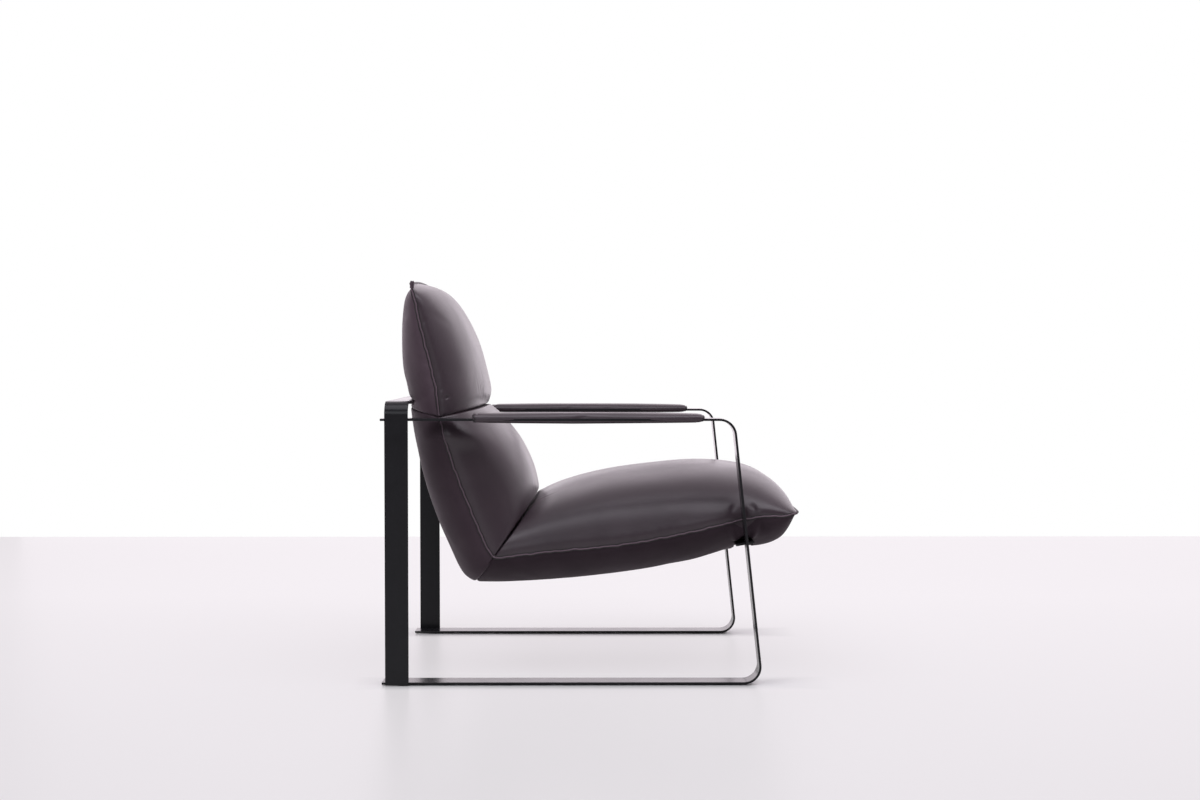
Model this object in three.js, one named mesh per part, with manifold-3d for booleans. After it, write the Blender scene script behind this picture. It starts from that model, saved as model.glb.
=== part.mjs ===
// Lounge chair: a padded leather sling of head, back and seat, hung in a frame of bent flat steel.
// Millimetres, +Z up. The sitter faces -Y, so the sitter's left is +X.
// The origin lies on the floor under the middle of the chair.

import * as THREE from 'three';
import { mergeVertices } from 'three/addons/utils/BufferGeometryUtils.js';
import Module from 'manifold-3d';

const wasm = await Module();
wasm.setup();

// Flat steel bar of the frame
const BAR_WIDTH = 50;
const BAR_THICKNESS = 5;
const WELD_GAP = 0.2;

// Frame as a whole
const CHAIR_WIDTH = 680;
const REAR_HEIGHT = 608;
const REAR_BEND_RADIUS = 27;
const ARM_HEIGHT = 568.5;
const ARM_TAIL = 10;
const RUNNER_TAIL = 8;
const LEG_TOP_FORWARD = 744;
const LEG_FOOT_FORWARD = 804.5;
const LOOP_BEND_RADIUS = 35;

// Front crossbar, which lies in the channel under the seat
const FRONT_BAR_WIDTH = 40;
const FRONT_BAR_DROP = 305;
const FRONT_BAR_TILT = THREE.MathUtils.degToRad(10);
const CHANNEL_MOUTH = 7;
const CHANNEL_DEPTH = 45;

// Floor glides
const GLIDE_LENGTH = 42;
const GLIDE_WIDTH = 30;
const GLIDE_THICKNESS = 2;
const GLIDE_REAR_INSET = 28;
const GLIDE_MIDDLE_INSET = 246;
const GLIDE_FRONT_INSET = 82.5;

// Hidden frame inside the sling
const CLEARANCE = 0.3;
const POCKET_CLEARANCE = 0.7;
const ROD_RADIUS = 8;
const RAIL_HALF_SPREAD = 232;
const RAIL_FRONT_RUN = 28;
const RAIL_FRONT_RISE = 8;
const LUMBAR_ROD_REACH = 30;
const BELT_WIDTH = 50;
const BELT_THICKNESS = 2;
const BELT_COUNT = { head: 2, back: 3, seat: 4 };

// Fastenings of the sling
const TAB_WIDTH = 60;
const TAB_THICKNESS = 5;
const TAB_OVERLAP = 30;
const TAB_LIP = 12;
const FASTENING_HALF_SPREAD = 150;
const SCREW_RADIUS = 4;
const SCREW_HEAD_RADIUS = 7;
const SCREW_HEAD_HEIGHT = 4;
const SCREW_BITE = 9;
const SCREW_WELL_DEPTH = 30;
const SPACER_RADIUS = 10;
const SPACER_HEIGHT = 22;

// Cushions
const CREASE_GAP = 0.6;
const SIDE_PULL = 6;
const SIDE_CLEARANCE = 0.8;
const WIDTH_STEPS = 20;
const HEAD_STEPS = 12;
const BACK_STEPS = 12;
const SEAT_STEPS = 18;

// Arm pads
const PAD_START = 182;
const PAD_LENGTH = 497;
const PAD_FOAM_HEIGHT = 10;
const PAD_LEATHER = 1.6;
const PAD_END_ROUND = 12;
const PAD_END_SHARES = [0, 1 / 4, 1 / 2, 1];
const PAD_ARCH_STEPS = 12;

// Round stretches
const BEND_STEPS = 8;
const ROUND_STEPS = 6;
const SPINE_STEPS = 48;
const BELT_STEPS = 3;
const STEPS_PER_SPINE_POINT = 20;

// Points closer together than this are one point
const MERGE_DISTANCE = 1e-4;

const steel = new THREE.MeshStandardMaterial({ color: '#141517', roughness: 0.42, metalness: 0.5 });
const leather = new THREE.MeshStandardMaterial({ color: '#40363a', roughness: 0.5, metalness: 0 });
const foam = new THREE.MeshStandardMaterial({ color: '#d9d0b4', roughness: 0.9, metalness: 0 });
const webbing = new THREE.MeshStandardMaterial({ color: '#26262a', roughness: 0.85, metalness: 0 });
const zinc = new THREE.MeshStandardMaterial({ color: '#8d9094', roughness: 0.35, metalness: 0.9 });
const rubber = new THREE.MeshStandardMaterial({ color: '#1a1a1b', roughness: 0.8, metalness: 0 });

const SIDES = { left: 1, right: -1 };

// Places that several pieces share: forward counts from the uprights' rear edge, up from the floor
const runnerUp = GLIDE_THICKNESS + BAR_THICKNESS / 2;
const loopOuter = CHAIR_WIDTH / 2 - BAR_THICKNESS - WELD_GAP;
const loopInner = loopOuter - BAR_WIDTH;
const loopMiddle = loopOuter - BAR_WIDTH / 2;
const hang = new THREE.Vector2(BAR_WIDTH, REAR_HEIGHT - BAR_THICKNESS);
const glideForward = {
  rear: GLIDE_REAR_INSET,
  middle: GLIDE_MIDDLE_INSET,
  front: LEG_FOOT_FORWARD - GLIDE_FRONT_INSET,
};
const frontBar = pointOnLeg(hang.y - FRONT_BAR_DROP);
const frontBarNormal = new THREE.Vector2(-Math.sin(FRONT_BAR_TILT), Math.cos(FRONT_BAR_TILT));
const lumbarRod = hang.clone().add(new THREE.Vector2(LUMBAR_ROD_REACH, ROD_RADIUS + CLEARANCE));
const frontRodLift = BAR_THICKNESS / 2 + SPACER_HEIGHT + ROD_RADIUS + 2 * CLEARANCE;
const frontRod = frontBar.clone().addScaledVector(frontBarNormal, frontRodLift);
const beltInner = ROD_RADIUS + CLEARANCE;
const pocketHalf = beltInner + BELT_THICKNESS + POCKET_CLEARANCE;
const cushionHalfWidth = loopInner - SIDE_CLEARANCE;

// The middle of the front leg at a given height
function pointOnLeg(up) {
  const share = (up - runnerUp) / (ARM_HEIGHT - runnerUp);
  return new THREE.Vector2(THREE.MathUtils.lerp(LEG_FOOT_FORWARD, LEG_TOP_FORWARD, share), up);
}

// A point of the sling, counted from the lower front edge of the rear crossbar
function slung(forward, up) {
  return new THREE.Vector2(hang.x + forward, hang.y + up);
}

// Side profiles of the three cushions, from the top of the head to the front of the seat:
// the seam at the sides, and the face and the underside on the middle line

const headProfile = {
  seam: [slung(2, 256), slung(21, 165), slung(41, 88), slung(54, 30), slung(61, -31)],
  face: [slung(0, 264), slung(46, 250), slung(82, 214), slung(121, 140), slung(144, 58),
    slung(151, 18), slung(141, -16)],
  under: [slung(0, 264), slung(-18, 248), slung(-30, 218), slung(-36, 150), slung(-34, 80),
    slung(-24, 29), slung(-17, -12)],
};

const backProfile = {
  seam: [slung(61, -31), slung(93, -143), slung(142, -266), slung(176, -338)],
  face: [slung(141, -16), slung(174, -38), slung(220, -88), slung(250, -146), slung(264, -198),
    slung(263, -222)],
  under: [slung(-17, -12), slung(-5, -88), slung(26, -212), slung(76, -328), slung(104, -386),
    slung(130, -408)],
};

const seatProfile = {
  seam: [slung(176, -338), slung(293, -324), slung(452, -309), slung(590, -284), slung(700, -257),
    slung(760, -246), slung(811, -244), slung(838, -237)],
  face: [slung(263, -222), slung(324, -196), slung(420, -170), slung(540, -153), slung(650, -145),
    slung(747, -157), slung(800, -184), slung(829, -213), slung(838, -237)],
  under: [slung(130, -408), slung(206, -408), slung(350, -398), slung(495, -380), slung(640, -352),
    slung(740, -329), slung(788, -321), slung(818, -302), slung(835, -270), slung(838, -237)],
};

// Fullness across the width: a higher number stays flat for longer before it falls to the seam
const FACE_FULLNESS = 2.6;
const UNDER_FULLNESS = 3.4;
const EDGE_ROUNDNESS = 2.2;

// The hidden rails run near the underside, through both fastenings of the sling
const railFrontEnd = frontRod.clone().add(new THREE.Vector2(RAIL_FRONT_RUN, RAIL_FRONT_RISE));
const headRod = slung(10, 190);
const cornerRod = slung(172, -353);
const spinePoints = [slung(10, 212), headRod, slung(11, 104), lumbarRod, slung(51, -98),
  slung(82, -205), slung(122, -301), cornerRod, slung(250, -360), slung(350, -353),
  slung(450, -341), slung(570, -319), frontRod, railFrontEnd];
const crossRods = { head: headRod, lumbar: lumbarRod, corner: cornerRod, front: frontRod };
const spine = new THREE.CatmullRomCurve3(spinePoints.map((point) => inSpace(0, point)));

// A side profile point at a given place across the width
function inSpace(across, point) {
  return new THREE.Vector3(across, -point.x, point.y);
}

// Turns an outline of (forward, up) points so that it is extruded towards -X
const acrossChair = new THREE.Matrix4().makeBasis(
  new THREE.Vector3(0, -1, 0),
  new THREE.Vector3(0, 0, 1),
  new THREE.Vector3(-1, 0, 0),
);

// Turns an outline of (across, up) points so that it is extruded forward
const alongChair = new THREE.Matrix4().makeBasis(
  new THREE.Vector3(1, 0, 0),
  new THREE.Vector3(0, 0, 1),
  new THREE.Vector3(0, -1, 0),
);

// Solids that are cut

function toSolid(geometry) {
  const bare = geometry.clone();
  bare.deleteAttribute('normal');
  bare.deleteAttribute('uv');
  const merged = mergeVertices(bare, MERGE_DISTANCE);
  const triVerts = new Uint32Array(merged.index.array);
  const vertProperties = new Float32Array(merged.attributes.position.array);
  return new wasm.Manifold(new wasm.Mesh({ numProp: 3, vertProperties, triVerts }));
}

function toGeometry(solid) {
  const { vertProperties, triVerts } = solid.getMesh();
  const geometry = new THREE.BufferGeometry();
  geometry.setAttribute('position', new THREE.BufferAttribute(vertProperties, 3));
  geometry.setIndex(new THREE.BufferAttribute(triVerts, 1));
  geometry.computeVertexNormals();
  return geometry;
}

function cut(geometry, cutters) {
  const body = cutters.reduce((rest, cutter) => rest.subtract(toSolid(cutter)), toSolid(geometry));
  return toGeometry(body);
}

// Surfaces made of rings of points

function geometryFromTriangles(points, triangles) {
  const geometry = new THREE.BufferGeometry().setFromPoints(points);
  geometry.setIndex(triangles);
  const merged = mergeVertices(geometry, MERGE_DISTANCE);
  const kept = [];
  for (let i = 0; i < merged.index.count; i += 3) {
    const corners = [0, 1, 2].map((k) => merged.index.getX(i + k));
    if (new Set(corners).size === 3) {
      kept.push(...corners);
    }
  }
  merged.setIndex(kept);
  merged.computeVertexNormals();
  return merged;
}

function addQuad(triangles, a, b, c, d) {
  triangles.push(a, b, c, a, c, d);
}

// Skin between rings of equal counts, whose points run the same way round
function addSkin(triangles, ringCount, ringSize, first, outward) {
  for (let i = 0; i < ringCount - 1; i += 1) {
    for (let j = 0; j < ringSize; j += 1) {
      const here = first + i * ringSize;
      const next = here + ringSize;
      const k = (j + 1) % ringSize;
      if (outward) {
        addQuad(triangles, here + j, here + k, next + k, next + j);
      } else {
        addQuad(triangles, here + j, next + j, next + k, here + k);
      }
    }
  }
}

// Cylinder along a direction of the side profile, from one point of it
function roundBar(radius, start, direction, length, across) {
  const geometry = new THREE.CylinderGeometry(radius, radius, length, 2 * ROUND_STEPS);
  const axis = inSpace(0, direction).normalize();
  geometry.applyQuaternion(new THREE.Quaternion().setFromUnitVectors(new THREE.Vector3(0, 1, 0), axis));
  const middle = inSpace(across, start).addScaledVector(axis, length / 2);
  return geometry.translate(middle.x, middle.y, middle.z);
}

// Steel frame

// Outline of a flat bar seen on its edge, bent at each inner corner of its middle line
function bentBarShape(corners, bendRadius) {
  const stations = [];
  const leftOf = (direction) => new THREE.Vector2(-direction.y, direction.x);
  const directions = corners.slice(1).map((corner, i) => corner.clone().sub(corners[i]).normalize());
  stations.push({ point: corners[0], normal: leftOf(directions[0]) });
  for (let i = 1; i < corners.length - 1; i += 1) {
    const before = directions[i - 1];
    const turn = Math.atan2(before.cross(directions[i]), before.dot(directions[i]));
    const setback = bendRadius * Math.tan(Math.abs(turn) / 2);
    const toCentre = Math.sign(turn) * bendRadius;
    const bendStart = corners[i].clone().addScaledVector(before, -setback);
    const centre = bendStart.addScaledVector(leftOf(before), toCentre);
    for (let step = 0; step <= BEND_STEPS; step += 1) {
      const direction = before.clone().rotateAround(new THREE.Vector2(), (turn * step) / BEND_STEPS);
      const normal = leftOf(direction);
      stations.push({ point: centre.clone().addScaledVector(normal, -toCentre), normal });
    }
  }
  stations.push({ point: corners.at(-1), normal: leftOf(directions.at(-1)) });
  const offset = (amount) => ({ point, normal }) => point.clone().addScaledVector(normal, amount);
  const leftEdge = stations.map(offset(BAR_THICKNESS / 2));
  const rightEdge = stations.map(offset(-BAR_THICKNESS / 2));
  return new THREE.Shape([...leftEdge, ...rightEdge.reverse()]);
}

function rearFrame() {
  const side = (CHAIR_WIDTH - BAR_THICKNESS) / 2;
  const top = REAR_HEIGHT - BAR_THICKNESS / 2;
  const corners = [
    new THREE.Vector2(-side, GLIDE_THICKNESS),
    new THREE.Vector2(-side, top),
    new THREE.Vector2(side, top),
    new THREE.Vector2(side, GLIDE_THICKNESS),
  ];
  const shape = bentBarShape(corners, REAR_BEND_RADIUS);
  const geometry = new THREE.ExtrudeGeometry(shape, { depth: BAR_WIDTH, bevelEnabled: false });
  return geometry.applyMatrix4(alongChair);
}

function sideLoop(side) {
  const corners = [
    new THREE.Vector2(-ARM_TAIL, ARM_HEIGHT),
    new THREE.Vector2(LEG_TOP_FORWARD, ARM_HEIGHT),
    new THREE.Vector2(LEG_FOOT_FORWARD, runnerUp),
    new THREE.Vector2(-RUNNER_TAIL, runnerUp),
  ];
  const shape = bentBarShape(corners, LOOP_BEND_RADIUS);
  const geometry = new THREE.ExtrudeGeometry(shape, { depth: BAR_WIDTH, bevelEnabled: false });
  geometry.applyMatrix4(acrossChair);
  return geometry.translate(side * loopMiddle + BAR_WIDTH / 2, 0, 0);
}

function frontCrossbar() {
  const length = 2 * (loopInner - WELD_GAP);
  const plate = new THREE.BoxGeometry(length, FRONT_BAR_WIDTH, BAR_THICKNESS);
  plate.rotateX(-FRONT_BAR_TILT);
  const middle = inSpace(0, frontBar);
  plate.translate(middle.x, middle.y, middle.z);
  const start = frontBar.clone().addScaledVector(frontBarNormal, -BAR_THICKNESS);
  const holes = Object.values(SIDES).map((side) => roundBar(
    SCREW_RADIUS + CLEARANCE, start, frontBarNormal, 2 * BAR_THICKNESS, side * FASTENING_HALF_SPREAD,
  ));
  return cut(plate, holes);
}

function glide(side, forward) {
  const geometry = new THREE.BoxGeometry(GLIDE_WIDTH, GLIDE_LENGTH, GLIDE_THICKNESS);
  return geometry.translate(side * loopMiddle, -forward, GLIDE_THICKNESS / 2);
}

// Fastenings of the sling

function hangerTabBlock(side, grow) {
  const length = TAB_OVERLAP + LUMBAR_ROD_REACH + TAB_LIP;
  const geometry = new THREE.BoxGeometry(TAB_WIDTH + 2 * grow, length + 2 * grow, TAB_THICKNESS + 2 * grow);
  const forward = hang.x - TAB_OVERLAP + length / 2;
  const up = hang.y - TAB_THICKNESS / 2 - WELD_GAP;
  return geometry.translate(side * FASTENING_HALF_SPREAD, -forward, up);
}

const upward = new THREE.Vector2(0, 1);
const rearScrewFoot = slung(LUMBAR_ROD_REACH, -TAB_THICKNESS - WELD_GAP - CLEARANCE);
const rearShankLength = TAB_THICKNESS + WELD_GAP + 2 * CLEARANCE + SCREW_BITE;
const frontScrewFoot = frontBar.clone()
  .addScaledVector(frontBarNormal, -BAR_THICKNESS / 2 - CLEARANCE);
const frontShankLength = BAR_THICKNESS + SPACER_HEIGHT + 3 * CLEARANCE + SCREW_BITE;

function hangerTab(side) {
  const across = side * FASTENING_HALF_SPREAD;
  const hole = roundBar(SCREW_RADIUS + CLEARANCE, rearScrewFoot, upward, rearShankLength, across);
  return cut(hangerTabBlock(side, 0), [hole]);
}

function screw(foot, direction, shankLength, across) {
  const headFoot = foot.clone().addScaledVector(direction, -SCREW_HEAD_HEIGHT);
  const head = roundBar(SCREW_HEAD_RADIUS, headFoot, direction, SCREW_HEAD_HEIGHT, across);
  const shank = roundBar(SCREW_RADIUS, headFoot, direction, SCREW_HEAD_HEIGHT + shankLength, across);
  return toGeometry(toSolid(head).add(toSolid(shank)));
}

function frontSpacer(side) {
  const foot = frontBar.clone().addScaledVector(frontBarNormal, BAR_THICKNESS / 2 + CLEARANCE);
  const across = side * FASTENING_HALF_SPREAD;
  const body = roundBar(SPACER_RADIUS, foot, frontBarNormal, SPACER_HEIGHT, across);
  const bore = roundBar(SCREW_RADIUS + CLEARANCE, frontScrewFoot, frontBarNormal, frontShankLength, across);
  return cut(body, [bore]);
}

// Hidden frame of the sling

function rail(side) {
  const section = new THREE.Shape();
  section.absarc(side * RAIL_HALF_SPREAD, 0, ROD_RADIUS, 0, 2 * Math.PI);
  const options = { steps: SPINE_STEPS, curveSegments: ROUND_STEPS, extrudePath: spine };
  return new THREE.ExtrudeGeometry(section, options);
}

function crossRod(middle, screwHoles) {
  const length = 2 * (RAIL_HALF_SPREAD - ROD_RADIUS - CLEARANCE);
  const geometry = new THREE.CylinderGeometry(ROD_RADIUS, ROD_RADIUS, length, 2 * ROUND_STEPS);
  geometry.rotateZ(Math.PI / 2);
  geometry.translate(middle.x, middle.y, middle.z);
  return screwHoles.length > 0 ? cut(geometry, screwHoles) : geometry;
}

function screwHolesAt(foot, direction, shankLength) {
  return Object.values(SIDES).map((side) => roundBar(
    SCREW_RADIUS + CLEARANCE, foot, direction, shankLength + CLEARANCE, side * FASTENING_HALF_SPREAD,
  ));
}

// Outline of a loop round both rails, at a given distance from their middles
function roundBothRails(reach) {
  const shape = new THREE.Shape();
  shape.absarc(RAIL_HALF_SPREAD, 0, reach, -Math.PI / 2, Math.PI / 2);
  shape.absarc(-RAIL_HALF_SPREAD, 0, reach, Math.PI / 2, 1.5 * Math.PI);
  shape.closePath();
  return shape;
}

function belt(distance) {
  const start = distance - BELT_WIDTH / 2;
  const points = [];
  for (let step = 0; step <= BELT_STEPS; step += 1) {
    const reach = start + (step * BELT_WIDTH) / BELT_STEPS;
    points.push(spine.getPointAt(reach / spine.getLength()));
  }
  const path = new THREE.CatmullRomCurve3(points);
  const section = roundBothRails(beltInner + BELT_THICKNESS);
  section.holes.push(roundBothRails(beltInner));
  const options = { steps: BELT_STEPS, curveSegments: ROUND_STEPS, extrudePath: path };
  return new THREE.ExtrudeGeometry(section, options);
}

// Flat pocket in the cushions, in which the rails, rods and belts lie
function pocket() {
  const halfWidth = RAIL_HALF_SPREAD + pocketHalf;
  const section = new THREE.Shape([
    new THREE.Vector2(-halfWidth, -pocketHalf),
    new THREE.Vector2(halfWidth, -pocketHalf),
    new THREE.Vector2(halfWidth, pocketHalf),
    new THREE.Vector2(-halfWidth, pocketHalf),
  ]);
  const ends = spinePoints.map((point) => point.clone());
  const headEnd = ends[0].clone().sub(ends[1]).setLength(CLEARANCE);
  const frontEnd = ends.at(-1).clone().sub(ends.at(-2)).setLength(CLEARANCE);
  ends[0].add(headEnd);
  ends.at(-1).add(frontEnd);
  const path = new THREE.CatmullRomCurve3(ends.map((point) => inSpace(0, point)));
  return new THREE.ExtrudeGeometry(section, { steps: SPINE_STEPS, extrudePath: path });
}

// Cushions

function fullnessAt(share, fullness) {
  return (1 - Math.abs(share) ** fullness) ** (1 / EDGE_ROUNDNESS);
}

// One ring round a cushion: over its face from one seam to the other, and back under it
function cushionRing(seam, face, under, halfWidth) {
  const ring = [];
  for (let j = 0; j < 2 * WIDTH_STEPS; j += 1) {
    const share = Math.cos((Math.PI * j) / WIDTH_STEPS);
    const onFace = j <= WIDTH_STEPS;
    const middle = onFace ? face : under;
    const fullness = fullnessAt(share, onFace ? FACE_FULLNESS : UNDER_FULLNESS);
    ring.push(inSpace(halfWidth * share, seam.clone().lerp(middle, fullness)));
  }
  return ring;
}

// Stations along a cushion, closer together towards an end that closes in a seam
const evenly = (share) => share;
const closerAtStart = (share) => 1 - Math.cos((Math.PI * share) / 2);
const closerAtEnd = (share) => Math.sin((Math.PI * share) / 2);

// A cushion between the seams along its sides, with its sides drawn in between its ends
function cushion(profile, steps, spacing) {
  const curves = Object.fromEntries(
    Object.entries(profile).map(([name, points]) => [name, new THREE.SplineCurve(points)]),
  );
  const rings = [];
  for (let i = 0; i <= steps; i += 1) {
    const share = spacing(i / steps);
    const pull = SIDE_PULL * Math.sin(Math.PI * share);
    const at = (name) => curves[name].getPointAt(share);
    rings.push(cushionRing(at('seam'), at('face'), at('under'), cushionHalfWidth - pull));
  }
  const size = 2 * WIDTH_STEPS;
  const triangles = [];
  addSkin(triangles, rings.length, size, 0, true);
  for (const [first, flip] of [[0, true], [steps * size, false]]) {
    for (let j = 0; j < WIDTH_STEPS; j += 1) {
      const back = (size - j) % size;
      const corners = [first + j, first + j + 1, first + size - j - 1, first + back];
      addQuad(triangles, ...(flip ? corners.reverse() : corners));
    }
  }
  return geometryFromTriangles(rings.flat(), triangles);
}

// A profile whose first or last points are moved off the crease that it shares with its neighbour
function parted(profile, end, shift) {
  const move = (points) => points.with(end, points.at(end).clone().add(shift));
  return { seam: move(profile.seam), face: move(profile.face), under: move(profile.under) };
}

function crossbarGroove() {
  const depth = BAR_WIDTH + CLEARANCE;
  const geometry = new THREE.BoxGeometry(CHAIR_WIDTH, depth, BAR_THICKNESS + 2 * CLEARANCE);
  return geometry.translate(0, -depth / 2, hang.y + BAR_THICKNESS / 2);
}

function frontBarChannel() {
  const along = new THREE.Vector2(frontBarNormal.y, -frontBarNormal.x);
  const roof = BAR_THICKNESS / 2 + CLEARANCE;
  const onBar = (forward, up) => frontBar.clone()
    .addScaledVector(along, forward)
    .addScaledVector(frontBarNormal, up);
  const halfRoof = FRONT_BAR_WIDTH / 2 + CLEARANCE;
  const halfMouth = halfRoof + CHANNEL_MOUTH;
  const shape = new THREE.Shape([
    onBar(-halfRoof, roof),
    onBar(-halfMouth, roof - CHANNEL_DEPTH),
    onBar(halfMouth, roof - CHANNEL_DEPTH),
    onBar(halfRoof, roof),
  ]);
  const geometry = new THREE.ExtrudeGeometry(shape, { depth: CHAIR_WIDTH, bevelEnabled: false });
  return geometry.applyMatrix4(acrossChair).translate(CHAIR_WIDTH / 2, 0, 0);
}

function headCushion() {
  const lift = new THREE.Vector2(0, CREASE_GAP);
  const solid = cushion(parted(headProfile, -1, lift), HEAD_STEPS, closerAtStart);
  const sides = Object.values(SIDES);
  const tabs = sides.map((side) => hangerTabBlock(side, CLEARANCE));
  const wellFoot = rearScrewFoot.clone().addScaledVector(upward, -SCREW_WELL_DEPTH);
  const wells = sides.map((side) => roundBar(
    SCREW_HEAD_RADIUS + CLEARANCE, wellFoot, upward, SCREW_WELL_DEPTH, side * FASTENING_HALF_SPREAD,
  ));
  return cut(solid, [pocket(), crossbarGroove(), ...tabs, ...wells]);
}

function backCushion() {
  return cut(cushion(backProfile, BACK_STEPS, evenly), [pocket()]);
}

function seatCushion() {
  const shift = new THREE.Vector2(CREASE_GAP, -CREASE_GAP);
  const solid = cushion(parted(seatProfile, 0, shift), SEAT_STEPS, closerAtEnd);
  const holes = Object.values(SIDES).map((side) => roundBar(
    SPACER_RADIUS + CLEARANCE, frontBar, frontBarNormal, frontRodLift, side * FASTENING_HALF_SPREAD,
  ));
  return cut(solid, [pocket(), frontBarChannel(), ...holes]);
}

// Arm pads: a foam strip on the arm bar, and a leather sleeve round both

// Section across the arm: flat under, straight at the sides and arched on top
function padRing(forward, halfWidth, bottom, shoulder, arch) {
  const ring = [];
  for (let j = 0; j <= PAD_ARCH_STEPS; j += 1) {
    const angle = (Math.PI * j) / PAD_ARCH_STEPS;
    const up = shoulder + arch * Math.sin(angle);
    ring.push(inSpace(halfWidth * Math.cos(angle), new THREE.Vector2(forward, up)));
  }
  ring.push(inSpace(-halfWidth, new THREE.Vector2(forward, bottom)));
  ring.push(inSpace(halfWidth, new THREE.Vector2(forward, bottom)));
  return ring;
}

// Shares of the full arch at the pad's stations: it falls away in a quarter round at both ends
function padStations() {
  const ends = PAD_END_SHARES.map((share) => ({
    reach: share * PAD_END_ROUND,
    swell: Math.sqrt(1 - (1 - share) ** 2),
  }));
  const rear = ends.map(({ reach, swell }) => ({ forward: PAD_START + reach, swell }));
  const front = ends.map(({ reach, swell }) => ({ forward: PAD_START + PAD_LENGTH - reach, swell }));
  return [...rear, ...front.reverse()];
}

const barTop = ARM_HEIGHT + BAR_THICKNESS / 2;
const barUnder = ARM_HEIGHT - BAR_THICKNESS / 2;
const foamShoulder = barTop + CLEARANCE + PAD_FOAM_HEIGHT / 2;
const foamArch = PAD_FOAM_HEIGHT / 2;

function armPadFoam(side) {
  const rings = padStations().map(({ forward, swell }) => padRing(
    forward, BAR_WIDTH / 2, barTop + CLEARANCE, foamShoulder, foamArch * swell,
  ));
  const size = rings[0].length;
  const triangles = [];
  addSkin(triangles, rings.length, size, 0, true);
  const last = (rings.length - 1) * size;
  for (let j = 1; j < size - 1; j += 1) {
    triangles.push(0, j + 1, j);
    triangles.push(last, last + j, last + j + 1);
  }
  return geometryFromTriangles(rings.flat(), triangles).translate(side * loopMiddle, 0, 0);
}

function armPadSleeve(side) {
  const sleeveRings = (grow) => padStations().map(({ forward, swell }) => padRing(
    forward, BAR_WIDTH / 2 + grow, barUnder - grow, foamShoulder, foamArch * swell + grow,
  ));
  const outer = sleeveRings(CLEARANCE + PAD_LEATHER);
  const inner = sleeveRings(CLEARANCE);
  const size = outer[0].length;
  const skin = outer.length * size;
  const triangles = [];
  addSkin(triangles, outer.length, size, 0, true);
  addSkin(triangles, inner.length, size, skin, false);
  const last = (outer.length - 1) * size;
  for (let j = 0; j < size; j += 1) {
    const k = (j + 1) % size;
    addQuad(triangles, skin + j, skin + k, k, j);
    addQuad(triangles, last + j, last + k, skin + last + k, skin + last + j);
  }
  return geometryFromTriangles([...outer, ...inner].flat(), triangles).translate(side * loopMiddle, 0, 0);
}

// Assembly

const chair = new THREE.Group();

function place(name, geometry, material) {
  const mesh = new THREE.Mesh(geometry, material);
  mesh.name = name;
  chair.add(mesh);
}

place('rear_frame', rearFrame(), steel);
place('front_crossbar', frontCrossbar(), steel);

for (const [name, side] of Object.entries(SIDES)) {
  const across = side * FASTENING_HALF_SPREAD;
  place(`side_loop_${name}`, sideLoop(side), steel);
  for (const [where, forward] of Object.entries(glideForward)) {
    place(`glide_${where}_${name}`, glide(side, forward), rubber);
  }
  place(`hanger_tab_${name}`, hangerTab(side), steel);
  place(`rear_screw_${name}`, screw(rearScrewFoot, upward, rearShankLength, across), zinc);
  place(`front_spacer_${name}`, frontSpacer(side), zinc);
  place(`front_screw_${name}`, screw(frontScrewFoot, frontBarNormal, frontShankLength, across), zinc);
  place(`inner_rail_${name}`, rail(side), steel);
  place(`arm_pad_foam_${name}`, armPadFoam(side), foam);
  place(`arm_pad_sleeve_${name}`, armPadSleeve(side), leather);
}

const rodHoles = {
  head: [],
  lumbar: screwHolesAt(rearScrewFoot, upward, rearShankLength),
  corner: [],
  front: screwHolesAt(frontScrewFoot, frontBarNormal, frontShankLength),
};
for (const [where, middle] of Object.entries(crossRods)) {
  place(`${where}_cross_rod`, crossRod(inSpace(0, middle), rodHoles[where]), steel);
}

// Belts lie evenly between the rods at the ends of their run
const spineDivisions = STEPS_PER_SPINE_POINT * (spinePoints.length - 1);
const spineLengths = spine.getLengths(spineDivisions);
const distanceAt = (point) => spineLengths[spinePoints.indexOf(point) * STEPS_PER_SPINE_POINT];
const beltRuns = {
  head: [headRod, lumbarRod],
  back: [lumbarRod, cornerRod],
  seat: [cornerRod, frontRod],
};
for (const [where, [from, to]] of Object.entries(beltRuns)) {
  const count = BELT_COUNT[where];
  for (let i = 1; i <= count; i += 1) {
    const distance = THREE.MathUtils.lerp(distanceAt(from), distanceAt(to), i / (count + 1));
    place(`${where}_belt_${i}`, belt(distance), webbing);
  }
}

place('head_cushion', headCushion(), leather);
place('back_cushion', backCushion(), leather);
place('seat_cushion', seatCushion(), leather);

// The middle of the chair's depth stands over the origin
const box = new THREE.Box3().setFromObject(chair);
chair.position.y = -(box.min.y + box.max.y) / 2;

export default chair;
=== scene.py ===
"""Looks of a leather sling lounge chair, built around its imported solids."""

import math

import bpy
import numpy as np
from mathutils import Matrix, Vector
from mathutils.bvhtree import BVHTree
from mathutils.kdtree import KDTree


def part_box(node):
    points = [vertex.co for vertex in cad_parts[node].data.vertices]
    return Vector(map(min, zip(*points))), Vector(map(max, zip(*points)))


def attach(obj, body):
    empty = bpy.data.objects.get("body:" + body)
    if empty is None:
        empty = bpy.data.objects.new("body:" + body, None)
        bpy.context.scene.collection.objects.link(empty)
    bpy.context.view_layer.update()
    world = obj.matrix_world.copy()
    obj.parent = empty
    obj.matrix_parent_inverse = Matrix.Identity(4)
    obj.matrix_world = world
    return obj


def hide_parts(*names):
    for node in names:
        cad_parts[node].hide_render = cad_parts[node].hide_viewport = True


bl_info = {
    "name": "Leather sling lounge chair",
    "version": (1, 0, 0),
    "blender": (4, 5, 0),
    "location": "View3D > Sidebar > Lounge chair",
    "description": "Dresses the packed lounge chair in bent steel bar, padded leather and stitching",
    "category": "Object",
}

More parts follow.
